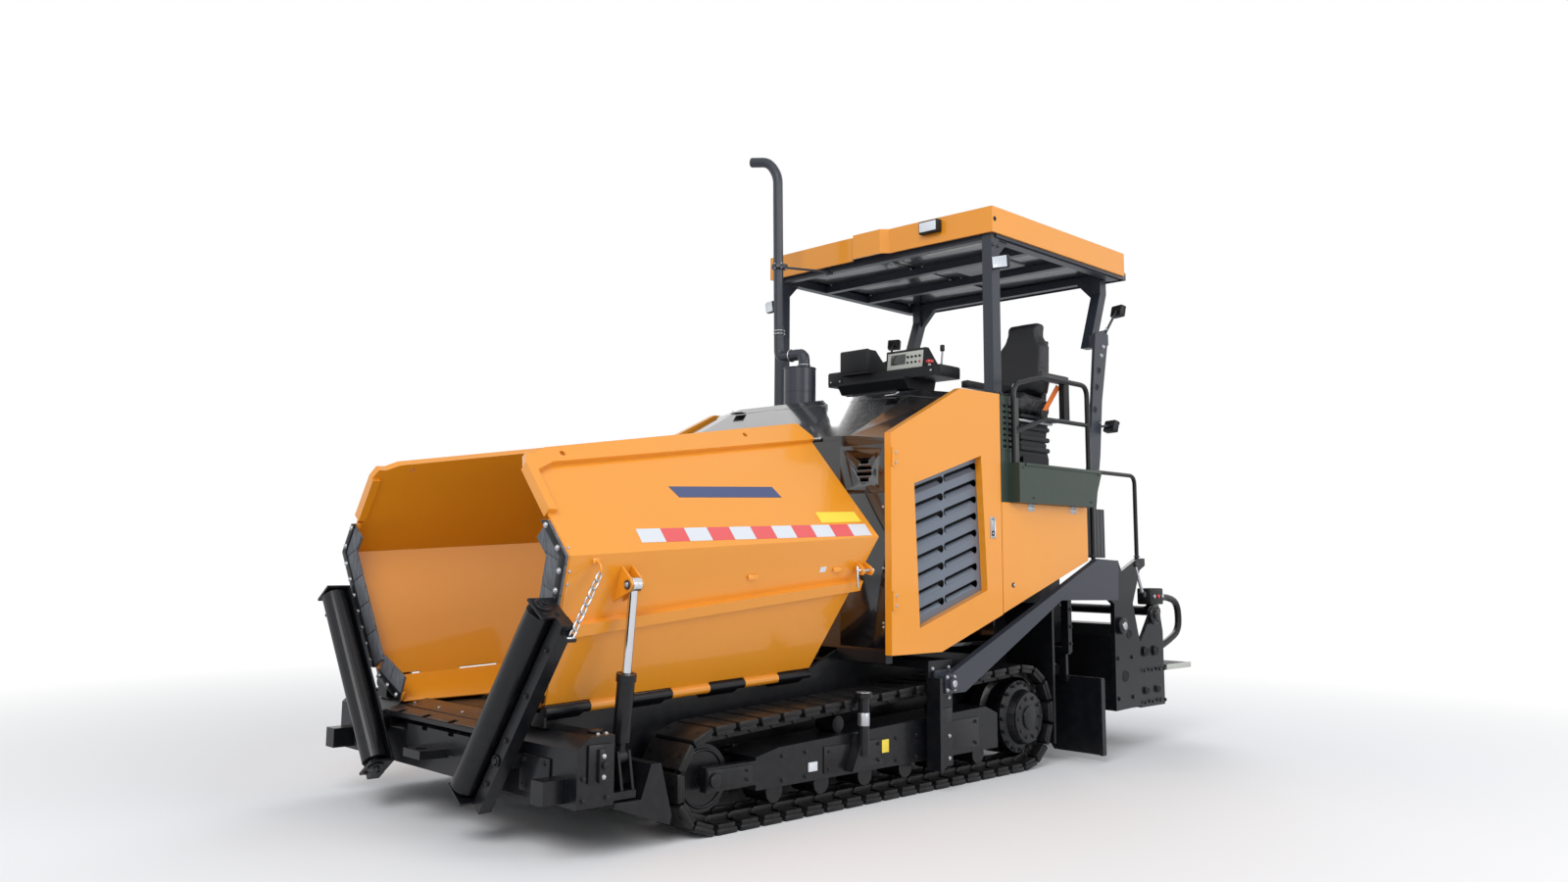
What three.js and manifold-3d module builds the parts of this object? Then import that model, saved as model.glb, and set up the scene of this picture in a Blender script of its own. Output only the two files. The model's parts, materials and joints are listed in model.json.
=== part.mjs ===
// Compact tracked asphalt paver. Millimetres, +Z up, the hopper at the front faces -Y and the machine's
// left side is +X. The origin is on the ground, on the centre line.
import * as THREE from "three";
import { mergeVertices } from "three/addons/utils/BufferGeometryUtils.js";
import Module from "manifold-3d";

const wasm = await Module();
wasm.setup();

// ---------------------------------------------------------------- driving dimensions
const GAP = 0.3; // between two touching nodes
const BODY_HALF = 976; // half width over the side doors
const TRACK_OUT = 930; // half width over the track shoes
const SHOE_WIDTH = 250;
const SHOE_COUNT = 46;
const SHOE_STEP = 18; // how far a shoe stands out between two gaps
const LOOP_THICK = 75; // shoe and chain together
const IDLER = { y: -1545, r: 222 }; // r is to the shoe's face
const SPROCKET = { y: 790, r: 288 };
const FRAME_HALF = 620; // half width over the tractor's side plates
const PLATE = 20; // side plate thickness
const HINGE = { x: 680, y0: -2250, z0: 533, y1: -718, z1: 593, r: 22 }; // hopper wing hinge line
const CREASE = { x: 932, y0: -2324, z0: 1145, y1: -500, z1: 1252 };
const RIM = { x0: 630, y0: -2360, z0: 1520, y1: -560, z1: 1822 };
const WING_PLATE = 10;
const FLANGE = 6; // the flange behind the rubber stands this far ahead of the wing's front edge
const SKIN = 40; // thickness of the side doors and lids
const WALL_Y = -430; // front face of the engine bay's front wall
const HOOD_Y1 = 500;
const DOOR_SILL = 700; // top of the sill under the engine bay
const DECK_Z = 1460; // operator's floor
const DECK_Y1 = 1700;
const CHASSIS_Y1 = 1687;
const ROOF = { half: BODY_HALF - 88, y0: 588, y1: 2189, z0: DECK_Z + 1552, z1: DECK_Z + 1704 };
const POST = 78;
const POST_X = [BODY_HALF - 176, BODY_HALF - 111]; // canopy posts' side faces
const FRONT_POST_Y = 665;
const REAR_POST = { y0: 1905, z0: DECK_Z + 1095, y1: 2060, z1: DECK_Z + 1440, in: 95 }; // in: how far inboard
const SIDE_BOX_Z = DECK_Z + 220; // top of the box that carries the handrail
const SIDE_COLUMN_Z = DECK_Z + 590; // top of the column that carries the front post
const COLUMN_X = [BODY_HALF - 40, BODY_HALF - 26]; // guide column's side faces
const TOW = { y: -20, z: 530 }; // tow point at rest
const ARM_X = [BODY_HALF - 11, BODY_HALF + 27]; // tow arm's side faces
const BUMPER = { half: 966, y0: -2291, y1: -2116, z0: 209, z1: 470 };
const ROLLER = { y: -2410, x0: 364, z0: 209, x1: 881, z1: 955, r: 55 };
const ARM_OFF = [72, 130]; // roller's centre line to its arm's near and far edges
const PUSH_PIVOT = { x: 583, z: 350 };
const WING_CYL = { y: -2000, baseX: 853, baseZ: 360, topX: 950, topZ: 1037, barrel: 330, r: 36, rod: 19 };
const SCREED = { half: 930, y0: 1720, y1: 2035, z0: 249, z1: 887 };
const FOOTBOARD_Y = 2800; // rear edge of the screed's footboard
const EXT = { y0: 2045, y1: 2330, z0: 245, z1: 640, out: 940 };
const HOSE_R = 22; // hydraulic hose on the screed extension
const MUD_PLATE = { y: 1355, out: 1083 }; // front face and outer edge of the plate ahead of the auger
const AUGER = { y: 1545, z: 370, r: 150, out: 900, shaft: 30 };
const ARM_Y = [-2395, -2337]; // roller arm's front and rear faces
const PIN_R = 12;
const EYE_HALF = 21; // half width of a cylinder's eye
const EYE_GAP = 0.6; // between an eye and each of its ears
const LIFT = { x: 520, topY: 1650, topZ: 1180, endY: 1870, endZ: 805, barrel: 340, r: 34, rod: 17 };

// ---------------------------------------------------------------- materials
const paint = (
  color, roughness, metalness = 0.1,
) => new THREE.MeshStandardMaterial({ color, roughness, metalness });
const YELLOW = () => paint(0xf5a21b, 0.35);
const BLACK = () => paint(0x16171a, 0.45, 0.2);
const GREY = () => paint(0x4a4f57, 0.5, 0.3);
const GREEN = () => paint(0x24332b, 0.5);
const GLOSS = () => paint(0x101114, 0.15, 0.1);
const STEEL = () => paint(0x3b3c3e, 0.6, 0.8);
const CHROME = () => paint(0xd8dade, 0.12, 1.0);
const RUBBER = () => paint(0x55585c, 0.85, 0.0);
const VINYL = () => paint(0x1c1d20, 0.7, 0.0);

// ---------------------------------------------------------------- shape helpers
const V = (x, y, z) => new THREE.Vector3(x, y, z);

function toSolid(geometry) {
  const bare = geometry.clone();
  bare.deleteAttribute("normal");
  bare.deleteAttribute("uv");
  const merged = mergeVertices(bare.index ? bare.toNonIndexed() : bare, 1e-3);
  return new wasm.Manifold(new wasm.Mesh({
    numProp: 3,
    vertProperties: merged.attributes.position.array,
    triVerts: new Uint32Array(merged.index.array),
  }));
}

function toGeometry(solid) {
  const mesh = solid.getMesh();
  const geometry = new THREE.BufferGeometry();
  geometry.setAttribute("position", new THREE.BufferAttribute(mesh.vertProperties, 3));
  geometry.setIndex(new THREE.BufferAttribute(mesh.triVerts, 1));
  geometry.computeVertexNormals();
  return geometry;
}

const join = (...pieces) => toGeometry(pieces.map(toSolid).reduce((a, b) => a.add(b)));
const cut = (base, ...tools) => toGeometry(
  tools.map(toSolid).reduce((a, b) => a.subtract(b), toSolid(base)),
);

function box(x0, x1, y0, y1, z0, z1) {
  return new THREE.BoxGeometry(x1 - x0, y1 - y0, z1 - z0)
    .translate((x0 + x1) / 2, (y0 + y1) / 2, (z0 + z1) / 2);
}

// An extrusion's own axes turned so that its outline lies in the Y-Z plane and its depth along +X.
const SIDE_BASIS = new THREE.Matrix4().makeBasis(V(0, 1, 0), V(0, 0, 1), V(1, 0, 0));

function extrude(points, depth, basis, origin) {
  const shape = new THREE.Shape(points.map(([a, b]) => new THREE.Vector2(a, b)));
  const geometry = new THREE.ExtrudeGeometry(shape, { depth, bevelEnabled: false });
  return geometry.applyMatrix4(basis).translate(origin.x, origin.y, origin.z);
}

// An outline of [y, z] points, from x0 to x1.
function plateX(points, x0, x1) {
  return extrude(points, x1 - x0, SIDE_BASIS, V(x0, 0, 0));
}

// An outline of [x, z] points, from y0 to y1.
function plateY(points, y0, y1) {
  return extrude(
    points, y1 - y0, new THREE.Matrix4().makeBasis(V(1, 0, 0), V(0, 0, 1), V(0, -1, 0)), V(0, y1, 0),
  );
}

// An outline of [x, y] points, from z0 to z1.
function plateZ(points, z0, z1) {
  return extrude(points, z1 - z0, new THREE.Matrix4(), V(0, 0, z0));
}

// A flat outline of 3-D corners, thickened along its normal from -back to +front.
function slab(corners, back, front) {
  const origin = corners[0];
  const u = corners[1].clone().sub(origin).normalize();
  const n = u.clone().cross(corners[2].clone().sub(origin)).normalize();
  const v = n.clone().cross(u);
  const flat = corners.map((c) => {
    const d = c.clone().sub(origin);
    return [d.dot(u), d.dot(v)];
  });
  return extrude(
    flat, back + front, new THREE.Matrix4().makeBasis(u, v, n), origin.clone().addScaledVector(n, -back),
  );
}

// A straight round or prismatic bar between two points.
function rod(a, b, radius, sides = 16) {
  const along = b.clone().sub(a);
  const turn = new THREE.Quaternion().setFromUnitVectors(V(0, 1, 0), along.clone().normalize());
  const middle = a.clone().add(b).multiplyScalar(0.5);
  return new THREE.CylinderGeometry(radius, radius, along.length(), sides)
    .applyQuaternion(turn).translate(middle.x, middle.y, middle.z);
}

// A round bar through points, its corners bent over the given length of each leg.
function bentBar(points, radius, bend, sides = 10) {
  const arcSteps = 5;
  const line = [points[0]];
  for (let i = 1; i < points.length - 1; i += 1) {
    const back = points[i - 1].clone().sub(points[i]);
    const on = points[i + 1].clone().sub(points[i]);
    const reach = Math.min(bend, 0.45 * back.length(), 0.45 * on.length());
    const arc = new THREE.QuadraticBezierCurve3(
      points[i].clone().add(back.setLength(reach)), points[i], points[i].clone().add(on.setLength(reach)),
    );
    line.push(...arc.getPoints(arcSteps));
  }
  line.push(points[points.length - 1]);
  let across = null;
  const loops = line.map((p, i) => {
    const ahead = line[Math.min(i + 1, line.length - 1)].clone().sub(
      line[Math.max(i - 1, 0)],
    ).normalize();
    if (!across) across = Math.abs(ahead.x) < 0.9 ? V(1, 0, 0) : V(0, 1, 0);
    across.projectOnPlane(ahead).normalize();
    const side = ahead.clone().cross(across);
    return [...Array(sides).keys()].map((k) => {
      const angle = (2 * Math.PI * k) / sides;
      return p.clone().addScaledVector(
        across, radius * Math.cos(angle),
      ).addScaledVector(side, radius * Math.sin(angle));
    });
  });
  return loft(loops, null);
}

// A turned solid whose axis is the line x = 0 of the profile, laid along +X.
function turnedX(profile, y, z, sides = 40) {
  const points = profile.map(([r, x]) => new THREE.Vector2(r, x));
  return new THREE.LatheGeometry(points, sides).rotateZ(-Math.PI / 2).translate(0, y, z);
}

// Triangles over a loop, in the loop's own direction. flatten gives the two coordinates that it is drawn in,
// and a loop without one is convex.
function capTriangles(loop, flatten) {
  if (!flatten) return loop.slice(2).map((_, i) => [0, i + 1, i + 2]);
  const flat = loop.map((p) => new THREE.Vector2(...flatten(p)));
  const turned = THREE.ShapeUtils.isClockWise(flat);
  return THREE.ShapeUtils.triangulateShape(flat, []).map(([a, b, c]) => (turned ? [a, c, b] : [a, b, c]));
}

// A ruled solid through closed loops of 3-D points, one loop per station.
function loft(loops, flatten) {
  const count = loops[0].length;
  const index = [];
  for (let k = 0; k < loops.length - 1; k += 1) {
    for (let i = 0; i < count; i += 1) {
      const a = k * count + i;
      const b = k * count + ((i + 1) % count);
      index.push(a, b, b + count, a, b + count, a + count);
    }
  }
  const last = (loops.length - 1) * count;
  for (const [a, b, c] of capTriangles(loops[0], flatten)) {
    index.push(a, c, b, last + a, last + b, last + c);
  }
  const geometry = new THREE.BufferGeometry();
  geometry.setAttribute(
    "position", new THREE.Float32BufferAttribute(loops.flat().flatMap((p) => [p.x, p.y, p.z]), 3),
  );
  geometry.setIndex(index);
  return facingOut(geometry);
}

const alongY = (p) => [p.x, p.z];
const alongZ = (p) => [p.x, p.y];

// The geometry with its faces turned round if they point inwards.
function facingOut(geometry) {
  const p = geometry.getAttribute("position");
  const index = geometry.index.array;
  const [a, b, c] = [V(), V(), V()];
  let volume = 0;
  for (let i = 0; i < index.length; i += 3) {
    a.fromBufferAttribute(p, index[i]);
    b.fromBufferAttribute(p, index[i + 1]);
    c.fromBufferAttribute(p, index[i + 2]);
    volume += a.dot(b.cross(c));
  }
  return volume < 0 ? reversed(geometry) : geometry;
}

function reversed(geometry) {
  const index = geometry.index.array;
  for (let i = 0; i < index.length; i += 3) [index[i], index[i + 1]] = [index[i + 1], index[i]];
  return geometry;
}

// The mirror image across the plane x = 0.
const mirrored = (geometry) => reversed(geometry.clone().scale(-1, 1, 1));

const root = new THREE.Group();
root.name = "tracked_asphalt_paver";

function add(name, geometry, material) {
  const mesh = new THREE.Mesh(geometry, material);
  mesh.name = name;
  root.add(mesh);
  return mesh;
}

// The left piece as built at +X and its mirror image on the right.
function addPair(name, geometry, material) {
  add(`${name}_left`, geometry, material());
  add(`${name}_right`, geometry, material()).scale.x = -1;
}

// ---------------------------------------------------------------- tracks and conveyors
// A belt's outer line round two circles { y, z, r }. at(s, inset) is the point at distance s along it.
function beltLine(front, rear) {
  const span = Math.hypot(rear.y - front.y, rear.z - front.z);
  const tilt = Math.atan2(rear.z - front.z, rear.y - front.y);
  const half = Math.acos((front.r - rear.r) / span);
  const run = Math.sqrt(span * span - (front.r - rear.r) ** 2);
  const rearArc = 2 * half * rear.r;
  const frontArc = 2 * (Math.PI - half) * front.r;
  const total = 2 * run + rearArc + frontArc;
  const onCircle = (circle, angle, inset, ahead) => [
    circle.y + (circle.r - inset) * Math.cos(angle) - ahead * Math.sin(angle),
    circle.z + (circle.r - inset) * Math.sin(angle) + ahead * Math.cos(angle),
  ];
  // The same line further in: only its round stretches need points.
  const inside = (inset, arcSteps) => {
    const points = [];
    for (let i = 0; i <= arcSteps; i += 1) points.push(
      onCircle(rear, tilt - half + (2 * half * i) / arcSteps, inset, 0),
    );
    for (let i = 0; i <= arcSteps; i += 1) points.push(
      onCircle(front, tilt + half + ((2 * Math.PI - 2 * half) * i) / arcSteps, inset, 0),
    );
    return points;
  };
  const at = (distance, inset) => {
    let s = ((distance % total) + total) % total;
    if (s < run) return onCircle(front, tilt - half, inset, s);
    s -= run;
    if (s < rearArc) return onCircle(rear, tilt - half + s / rear.r, inset, 0);
    s -= rearArc;
    if (s < run) return onCircle(rear, tilt + half, inset, s);
    return onCircle(front, tilt + half + (s - run) / front.r, inset, 0);
  };
  return { total, at, inside };
}

// A closed belt of flat cleats from x0 to x1: a cleat takes the given share of its pitch and stands out by
// step.
// gapPoints are the points between two cleats, where the belt bends round a circle.
function belt(front, rear, { count, share, step, thick, gapPoints }, x0, x1) {
  const { total, at, inside } = beltLine(front, rear);
  const pitch = total / count;
  const outer = [];
  for (let i = 0; i < count; i += 1) {
    const start = (i + 0.5 - share / 2) * pitch;
    const end = (i + 0.5 + share / 2) * pitch;
    outer.push(at(start, step), at(start, 0), at(end, 0), at(end, step));
    for (let k = 1; k <= gapPoints; k += 1) outer.push(
      at(end + ((1 - share) * pitch * k) / (gapPoints + 1), step),
    );
  }
  const shape = new THREE.Shape(outer.map(([y, z]) => new THREE.Vector2(y, z)));
  shape.holes.push(new THREE.Path(inside(thick, 16).map(([y, z]) => new THREE.Vector2(y, z))));
  return new THREE.ExtrudeGeometry(shape, { depth: x1 - x0, bevelEnabled: false })
    .applyMatrix4(SIDE_BASIS).translate(x0, 0, 0);
}

const track = belt(
  { ...IDLER, z: IDLER.r }, { ...SPROCKET, z: SPROCKET.r },
  { count: SHOE_COUNT, share: 0.8, step: SHOE_STEP, thick: LOOP_THICK, gapPoints: 0 },
  TRACK_OUT - SHOE_WIDTH, TRACK_OUT,
);

const FRAME_IN = TRACK_OUT - SHOE_WIDTH + 20;
const FRAME_OUT = TRACK_OUT - 20;

function trackFrame() {
  const body = plateX([
    [-1294, 150], [540, 150], [540, 330], [430, 372], [-1150, 318], [-1294, 290],
  ], FRAME_IN, FRAME_OUT);
  const pieces = [body];
  for (const x of [FRAME_IN, FRAME_OUT - 40]) pieces.push(box(x, x + 40, -1585, -1250, 175, 275));
  for (const y of [-1100, -250]) pieces.push(
    box(FRAME_HALF + GAP, FRAME_IN + 20, y - 60, y + 60, 190, 300),
  );
  const rollerR = 52;
  for (let i = 0; i < 6; i += 1) {
    const y = -1150 + i * 310;
    pieces.push(
      rod(
        V(FRAME_IN + 30, y, LOOP_THICK + GAP + rollerR), V(FRAME_OUT - 30, y, LOOP_THICK + GAP + rollerR),
        rollerR, 12,
      ),
    );
  }
  for (const y of [-700, 150]) pieces.push(
    rod(V(FRAME_IN + 50, y, 372), V(FRAME_OUT - 50, y, 372), 40, 16),
  );
  // idler wheel in the fork
  const idlerR = IDLER.r - LOOP_THICK - 5;
  pieces.push(rod(V(FRAME_IN + 70, IDLER.y, IDLER.r), V(FRAME_OUT - 70, IDLER.y, IDLER.r), idlerR, 24));
  pieces.push(rod(V(FRAME_IN - 5, IDLER.y, IDLER.r), V(FRAME_OUT + 8, IDLER.y, IDLER.r), 38, 16));
  // screw stand with its round top on a gusset
  const standX = FRAME_OUT + 52;
  pieces.push(
    rod(V(standX, -636, 236), V(standX, -636, 500), 27, 12),
    rod(V(standX, -636, 500), V(standX, -636, 522), 44, 16),
  );
  pieces.push(plateX([[-720, 170], [-636, 170], [-600, 240], [-636, 330]], FRAME_OUT - 5, standX + 5));
  return join(...pieces);
}

function sprocket() {
  const r = SPROCKET.r - LOOP_THICK - 6;
  return turnedX([
    [0, FRAME_HALF + GAP], [120, FRAME_HALF + GAP], [120, 700], [r, 700], [r, 760], [175, 775],
    [175, 850],
    [r - 12, 862], [r - 12, 886], [150, 900], [137, 940], [0, 940],
  ], SPROCKET.y, SPROCKET.r, 28);
}

addPair("track", track, STEEL);
addPair("track_frame", trackFrame(), BLACK);
addPair("sprocket", sprocket(), BLACK);

// ---------------------------------------------------------------- tractor frame
const INNER = FRAME_HALF - PLATE;

function chassisFrame() {
  const side = [
    [BUMPER.y1 + GAP, 215], [-1500, 215], [-1200, 300], [1345, 300], [1345, 640], [CHASSIS_Y1, 640],
    [CHASSIS_Y1, DECK_Z - 20 - GAP], [520, DECK_Z - 20 - GAP], [520, 700], [-400, 700], [-720, 575],
    [BUMPER.y1 + GAP, 520],
  ];
  const pieces = [plateX(side, INNER, FRAME_HALF), plateX(side, -FRAME_HALF, -INNER)];
  pieces.push(box(-INNER - 5, INNER + 5, BUMPER.y1 + GAP, BUMPER.y1 + 20, 215, 425));
  pieces.push(box(-INNER - 5, INNER + 5, -1900, 1350, 300, 316));
  pieces.push(box(-INNER - 5, INNER + 5, 1290, 1310, 640, 1150));
  for (const s of [-1, 1]) {
    const x = (a, b) => (s > 0 ? [a, b] : [-b, -a]);
    // side plate's nose over the bumper, closed across to the hinge
    pieces.push(box(...x(INNER, FRAME_HALF), HINGE.y0, BUMPER.y1 + 5, BUMPER.z1 + GAP, 520));
    const nose = [[INNER, 471], [HINGE.x + 5, 471], [HINGE.x + 5, HINGE.z0], [INNER, 520]];
    pieces.push(plateY(nose.map(([px, pz]) => [s * px, pz]), HINGE.y0, HINGE.y0 + 12));
    // plate behind the track
    pieces.push(box(...x(FRAME_HALF - 5, 930), 1075, 1095, 120, 900));
    // mud plate ahead of the auger, hung from an arm, and the upright beside it
    const mud = [[756, 42], [MUD_PLATE.out, 42], [MUD_PLATE.out, 476], [745, 476], [725, 91]];
    pieces.push(plateY(mud.map(([px, pz]) => [s * px, pz]), MUD_PLATE.y, MUD_PLATE.y + 20));
    pieces.push(box(...x(MUD_PLATE.out - 20, MUD_PLATE.out), MUD_PLATE.y - 20, MUD_PLATE.y + 5, 42, 476));
    pieces.push(box(...x(FRAME_HALF - 5, 885), 1320, MUD_PLATE.y - 5, 600, 640));
    pieces.push(box(...x(815, 860), MUD_PLATE.y - 20, MUD_PLATE.y + 5, 440, 620));
    pieces.push(box(...x(842, 889), 1320, MUD_PLATE.y + 5, 610, 917));
    // auger's outer bearing
    pieces.push(box(...x(905, 925), MUD_PLATE.y + 15, AUGER.y + 40, AUGER.z - 45, AUGER.z + 45));
    // slanted mud plate ahead of the track
    pieces.push(plateX([
      [-2085, 183], [-1800, 84], [-1790, 120], [-1850, 330], [-1900, 330], [-1950, 200], [-2080, 203],
    ], ...x(FRAME_HALF - 5, 930)));
    // guide column of the tow point
    pieces.push(
      box(...x(...COLUMN_X), -118, 80, 112, 640),
      box(...x(COLUMN_X[0], ARM_X[1] + 17), -118, -96, 112, 560),
    );
    pieces.push(box(...x(FRAME_HALF - 5, COLUMN_X[1]), -118, 80, 600, 640));
    // sill under the engine bay's side
    pieces.push(box(...x(FRAME_HALF - 5, 930), WALL_Y, -380, 640, DOOR_SILL));
    pieces.push(box(...x(FRAME_HALF - 5, 930), 430, 480, 640, DOOR_SILL));
  }
  // hanger of the auger drive
  pieces.push(box(-60, 60, 1300, 1480, 640, 760), box(-40, 40, 1440, 1480, 300, 700));
  pieces.push(box(-60, 60, 1450, AUGER.y + 45, AUGER.z - 60, AUGER.z + 60));
  // tunnel roof under the engine, and the cross member that holds the lift cylinders
  pieces.push(
    box(-INNER - 5, INNER + 5, -400, 1310, 625, 640), box(-INNER - 5, INNER + 5, 1590, 1612, 1130, 1230),
  );
  for (const x of [-LIFT.x, LIFT.x]) {
    for (const side of [-1, 1]) {
      const middle = x + side * (EYE_HALF + EYE_GAP + 8);
      pieces.push(box(middle - 8, middle + 8, 1600, LIFT.topY + 22, LIFT.topZ - 24, LIFT.topZ + 24));
    }
  }
  // hinge brackets along the hopper
  for (const s of [-1, 1]) {
    for (const [from, to] of frameKnuckles()) {
      const a = hingePoint(from);
      const b = hingePoint(to);
      const arm = slab(
        [V(FRAME_HALF - 8, a.y, a.z - 45), V(FRAME_HALF - 8, b.y, b.z - 45), b.clone(), a.clone()], 6, 6,
      );
      const knuckle = rod(a, b, HINGE.r, 14);
      const both = join(knuckle, arm);
      pieces.push(s > 0 ? both : mirrored(both));
    }
  }
  return join(...pieces);
}

// A point at a share of the hopper hinge line, from front (0) to rear (1).
function hingePoint(share) {
  return V(HINGE.x, HINGE.y0 + (HINGE.y1 - HINGE.y0) * share, HINGE.z0 + (HINGE.z1 - HINGE.z0) * share);
}

const KNUCKLES = 7;
const KNUCKLE_GAP = 0.0004; // share of the hinge line between two knuckles

function knuckle(i) {
  return [i / KNUCKLES + KNUCKLE_GAP / 2, (i + 1) / KNUCKLES - KNUCKLE_GAP / 2];
}

function frameKnuckles() {
  return [0, 2, 4, 6].map(knuckle);
}

function wingKnuckles() {
  return [1, 3, 5].map(knuckle);
}

add("chassis_frame", chassisFrame(), BLACK());

// The wing cylinder works square to the hinge line: with its brackets it leans forward about its foot pin.
const HINGE_TILT = Math.atan2(HINGE.z1 - HINGE.z0, HINGE.y1 - HINGE.y0);
const wingLean = new THREE.Matrix4().makeTranslation(0, WING_CYL.y, WING_CYL.baseZ)
  .multiply(new THREE.Matrix4().makeRotationX(HINGE_TILT))
  .multiply(new THREE.Matrix4().makeTranslation(0, -WING_CYL.y, -WING_CYL.baseZ));

function frontBumper() {
  const { half, y0, y1, z0, z1 } = BUMPER;
  const ledge = 405;
  const middle = 470;
  const section = (top) => [[y0, z0], [y1, z0], [y1, top], [y0 + 60, top], [y0, top - 50]];
  const pieces = [plateX(section(ledge), -middle - 5, middle + 5)];
  // apron plate, and the tow hook's beam under it
  pieces.push(plateX([[-2330, 415], [y1, 452], [y1, 470], [-2330, 433]], -middle, middle));
  pieces.push(box(-460, 460, y0 + 40, y1, ledge - 10, 455));
  pieces.push(box(-260, 260, -2320, y0 + 5, 300, 395));
  pieces.push(plateZ([[-90, -2315], [90, -2315], [70, -2440], [-70, -2440]], 290, 325));
  for (const s of [-1, 1]) {
    const x = (a, b) => (s > 0 ? [a, b] : [-b, -a]);
    pieces.push(plateX(section(z1), ...x(middle, half)));
    // rest for the unfolded roller arm, and the arm's pivot pin
    pieces.push(box(...x(820, 900), ARM_Y[0], y0 + 5, 225, 314));
    const pivot = (py) => V(s * PUSH_PIVOT.x, py, PUSH_PIVOT.z);
    pieces.push(rod(pivot(y0 + 5), pivot(ARM_Y[1] + 0.7), 40, 20));
    pieces.push(rod(pivot(y0), pivot(ARM_Y[0] - 10), PIN_R, 16));
    // bracket and pin of the wing cylinder's foot
    const { y, baseX, baseZ } = WING_CYL;
    pieces.push(box(...x(790, 915), y1 - 5, y + 36, z0, z0 + 30));
    for (const side of [-1, 1]) {
      const inner = y + side * (EYE_HALF + EYE_GAP);
      const outer = inner + side * 12;
      const outline = [
        [baseX - 53, z0 + 5], [baseX + 52, z0 + 5], [baseX + 27, baseZ + 25], [baseX - 27, baseZ + 25],
      ];
      const ear = plateY(
        outline.map(([px, pz]) => [s * px, pz]), Math.min(inner, outer), Math.max(inner, outer),
      );
      pieces.push(ear.applyMatrix4(wingLean));
    }
    const pin = rod(
      V(s * baseX, y - EYE_HALF - 12, baseZ), V(s * baseX, y + EYE_HALF + 12, baseZ), PIN_R, 16,
    );
    pieces.push(pin.applyMatrix4(wingLean));
  }
  const holes = [-330, -110, 110, 330].map((x) => box(x - 22, x + 22, -2320, -2290, 380, 500));
  const eye = rod(V(0, -2392, 270), V(0, -2392, 350), 26, 20);
  return cut(join(...pieces), ...holes, eye);
}
add("front_bumper", frontBumper(), BLACK());


const CONVEYOR = { y0: -2000, y1: 1270, z: 396, r: 74, in: 40, out: 560, slats: 24, thick: 34 };

function hopperFloor() {
  const z1 = CONVEYOR.z + CONVEYOR.r - CONVEYOR.thick - GAP;
  const edge = INNER - GAP;
  const pieces = [box(-edge, edge, CONVEYOR.y0, CONVEYOR.y1, z1 - 12, z1)];
  // ridge between the two conveyors, and the fillets that guide material off the hinges
  pieces.push(plateY([[-34, z1 - 5], [34, z1 - 5], [16, z1 + 120], [-16, z1 + 120]], CONVEYOR.y0, -700));
  for (const s of [-1, 1]) {
    const wedge = plateY(
      [[566, z1 - 5], [edge, z1 - 5], [edge, z1 + 100], [566, z1 + 70]], CONVEYOR.y0, -700,
    );
    pieces.push(s > 0 ? wedge : mirrored(indexed(wedge)));
  }
  return join(...pieces);
}

function indexed(geometry) {
  return toGeometry(toSolid(geometry));
}

add("hopper_floor", hopperFloor(), BLACK());
addPair("conveyor", belt(
  { y: CONVEYOR.y0, z: CONVEYOR.z, r: CONVEYOR.r }, { y: CONVEYOR.y1, z: CONVEYOR.z, r: CONVEYOR.r },
  { count: CONVEYOR.slats, share: 0.2, step: 20, thick: CONVEYOR.thick, gapPoints: 3 }, CONVEYOR.in,
  CONVEYOR.out,
), STEEL);

// ---------------------------------------------------------------- hopper wings
const hingeAxis = hingePoint(1).sub(hingePoint(0)).normalize();

function planeThrough(a, b, c) {
  return new THREE.Plane().setFromCoplanarPoints(a, b, c);
}

// The point of a plane at the given y and z.
function onPlane(plane, y, z) {
  const n = plane.normal;
  return V(-(plane.constant + n.y * y + n.z * z) / n.x, y, z);
}

const creaseFront = V(CREASE.x, CREASE.y0, CREASE.z0);
const lowerPlane = planeThrough(hingePoint(0), hingePoint(1), creaseFront);
const creaseRear = onPlane(lowerPlane, CREASE.y1, CREASE.z1);
const upperPlane = planeThrough(creaseFront, creaseRear, V(RIM.x0, RIM.y0, RIM.z0));
const wingUp = creaseFront.clone().sub(hingePoint(0)).projectOnPlane(hingeAxis).normalize();
const low = (y, z) => onPlane(lowerPlane, y, z);
const high = (y, z) => onPlane(upperPlane, y, z);

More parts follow.
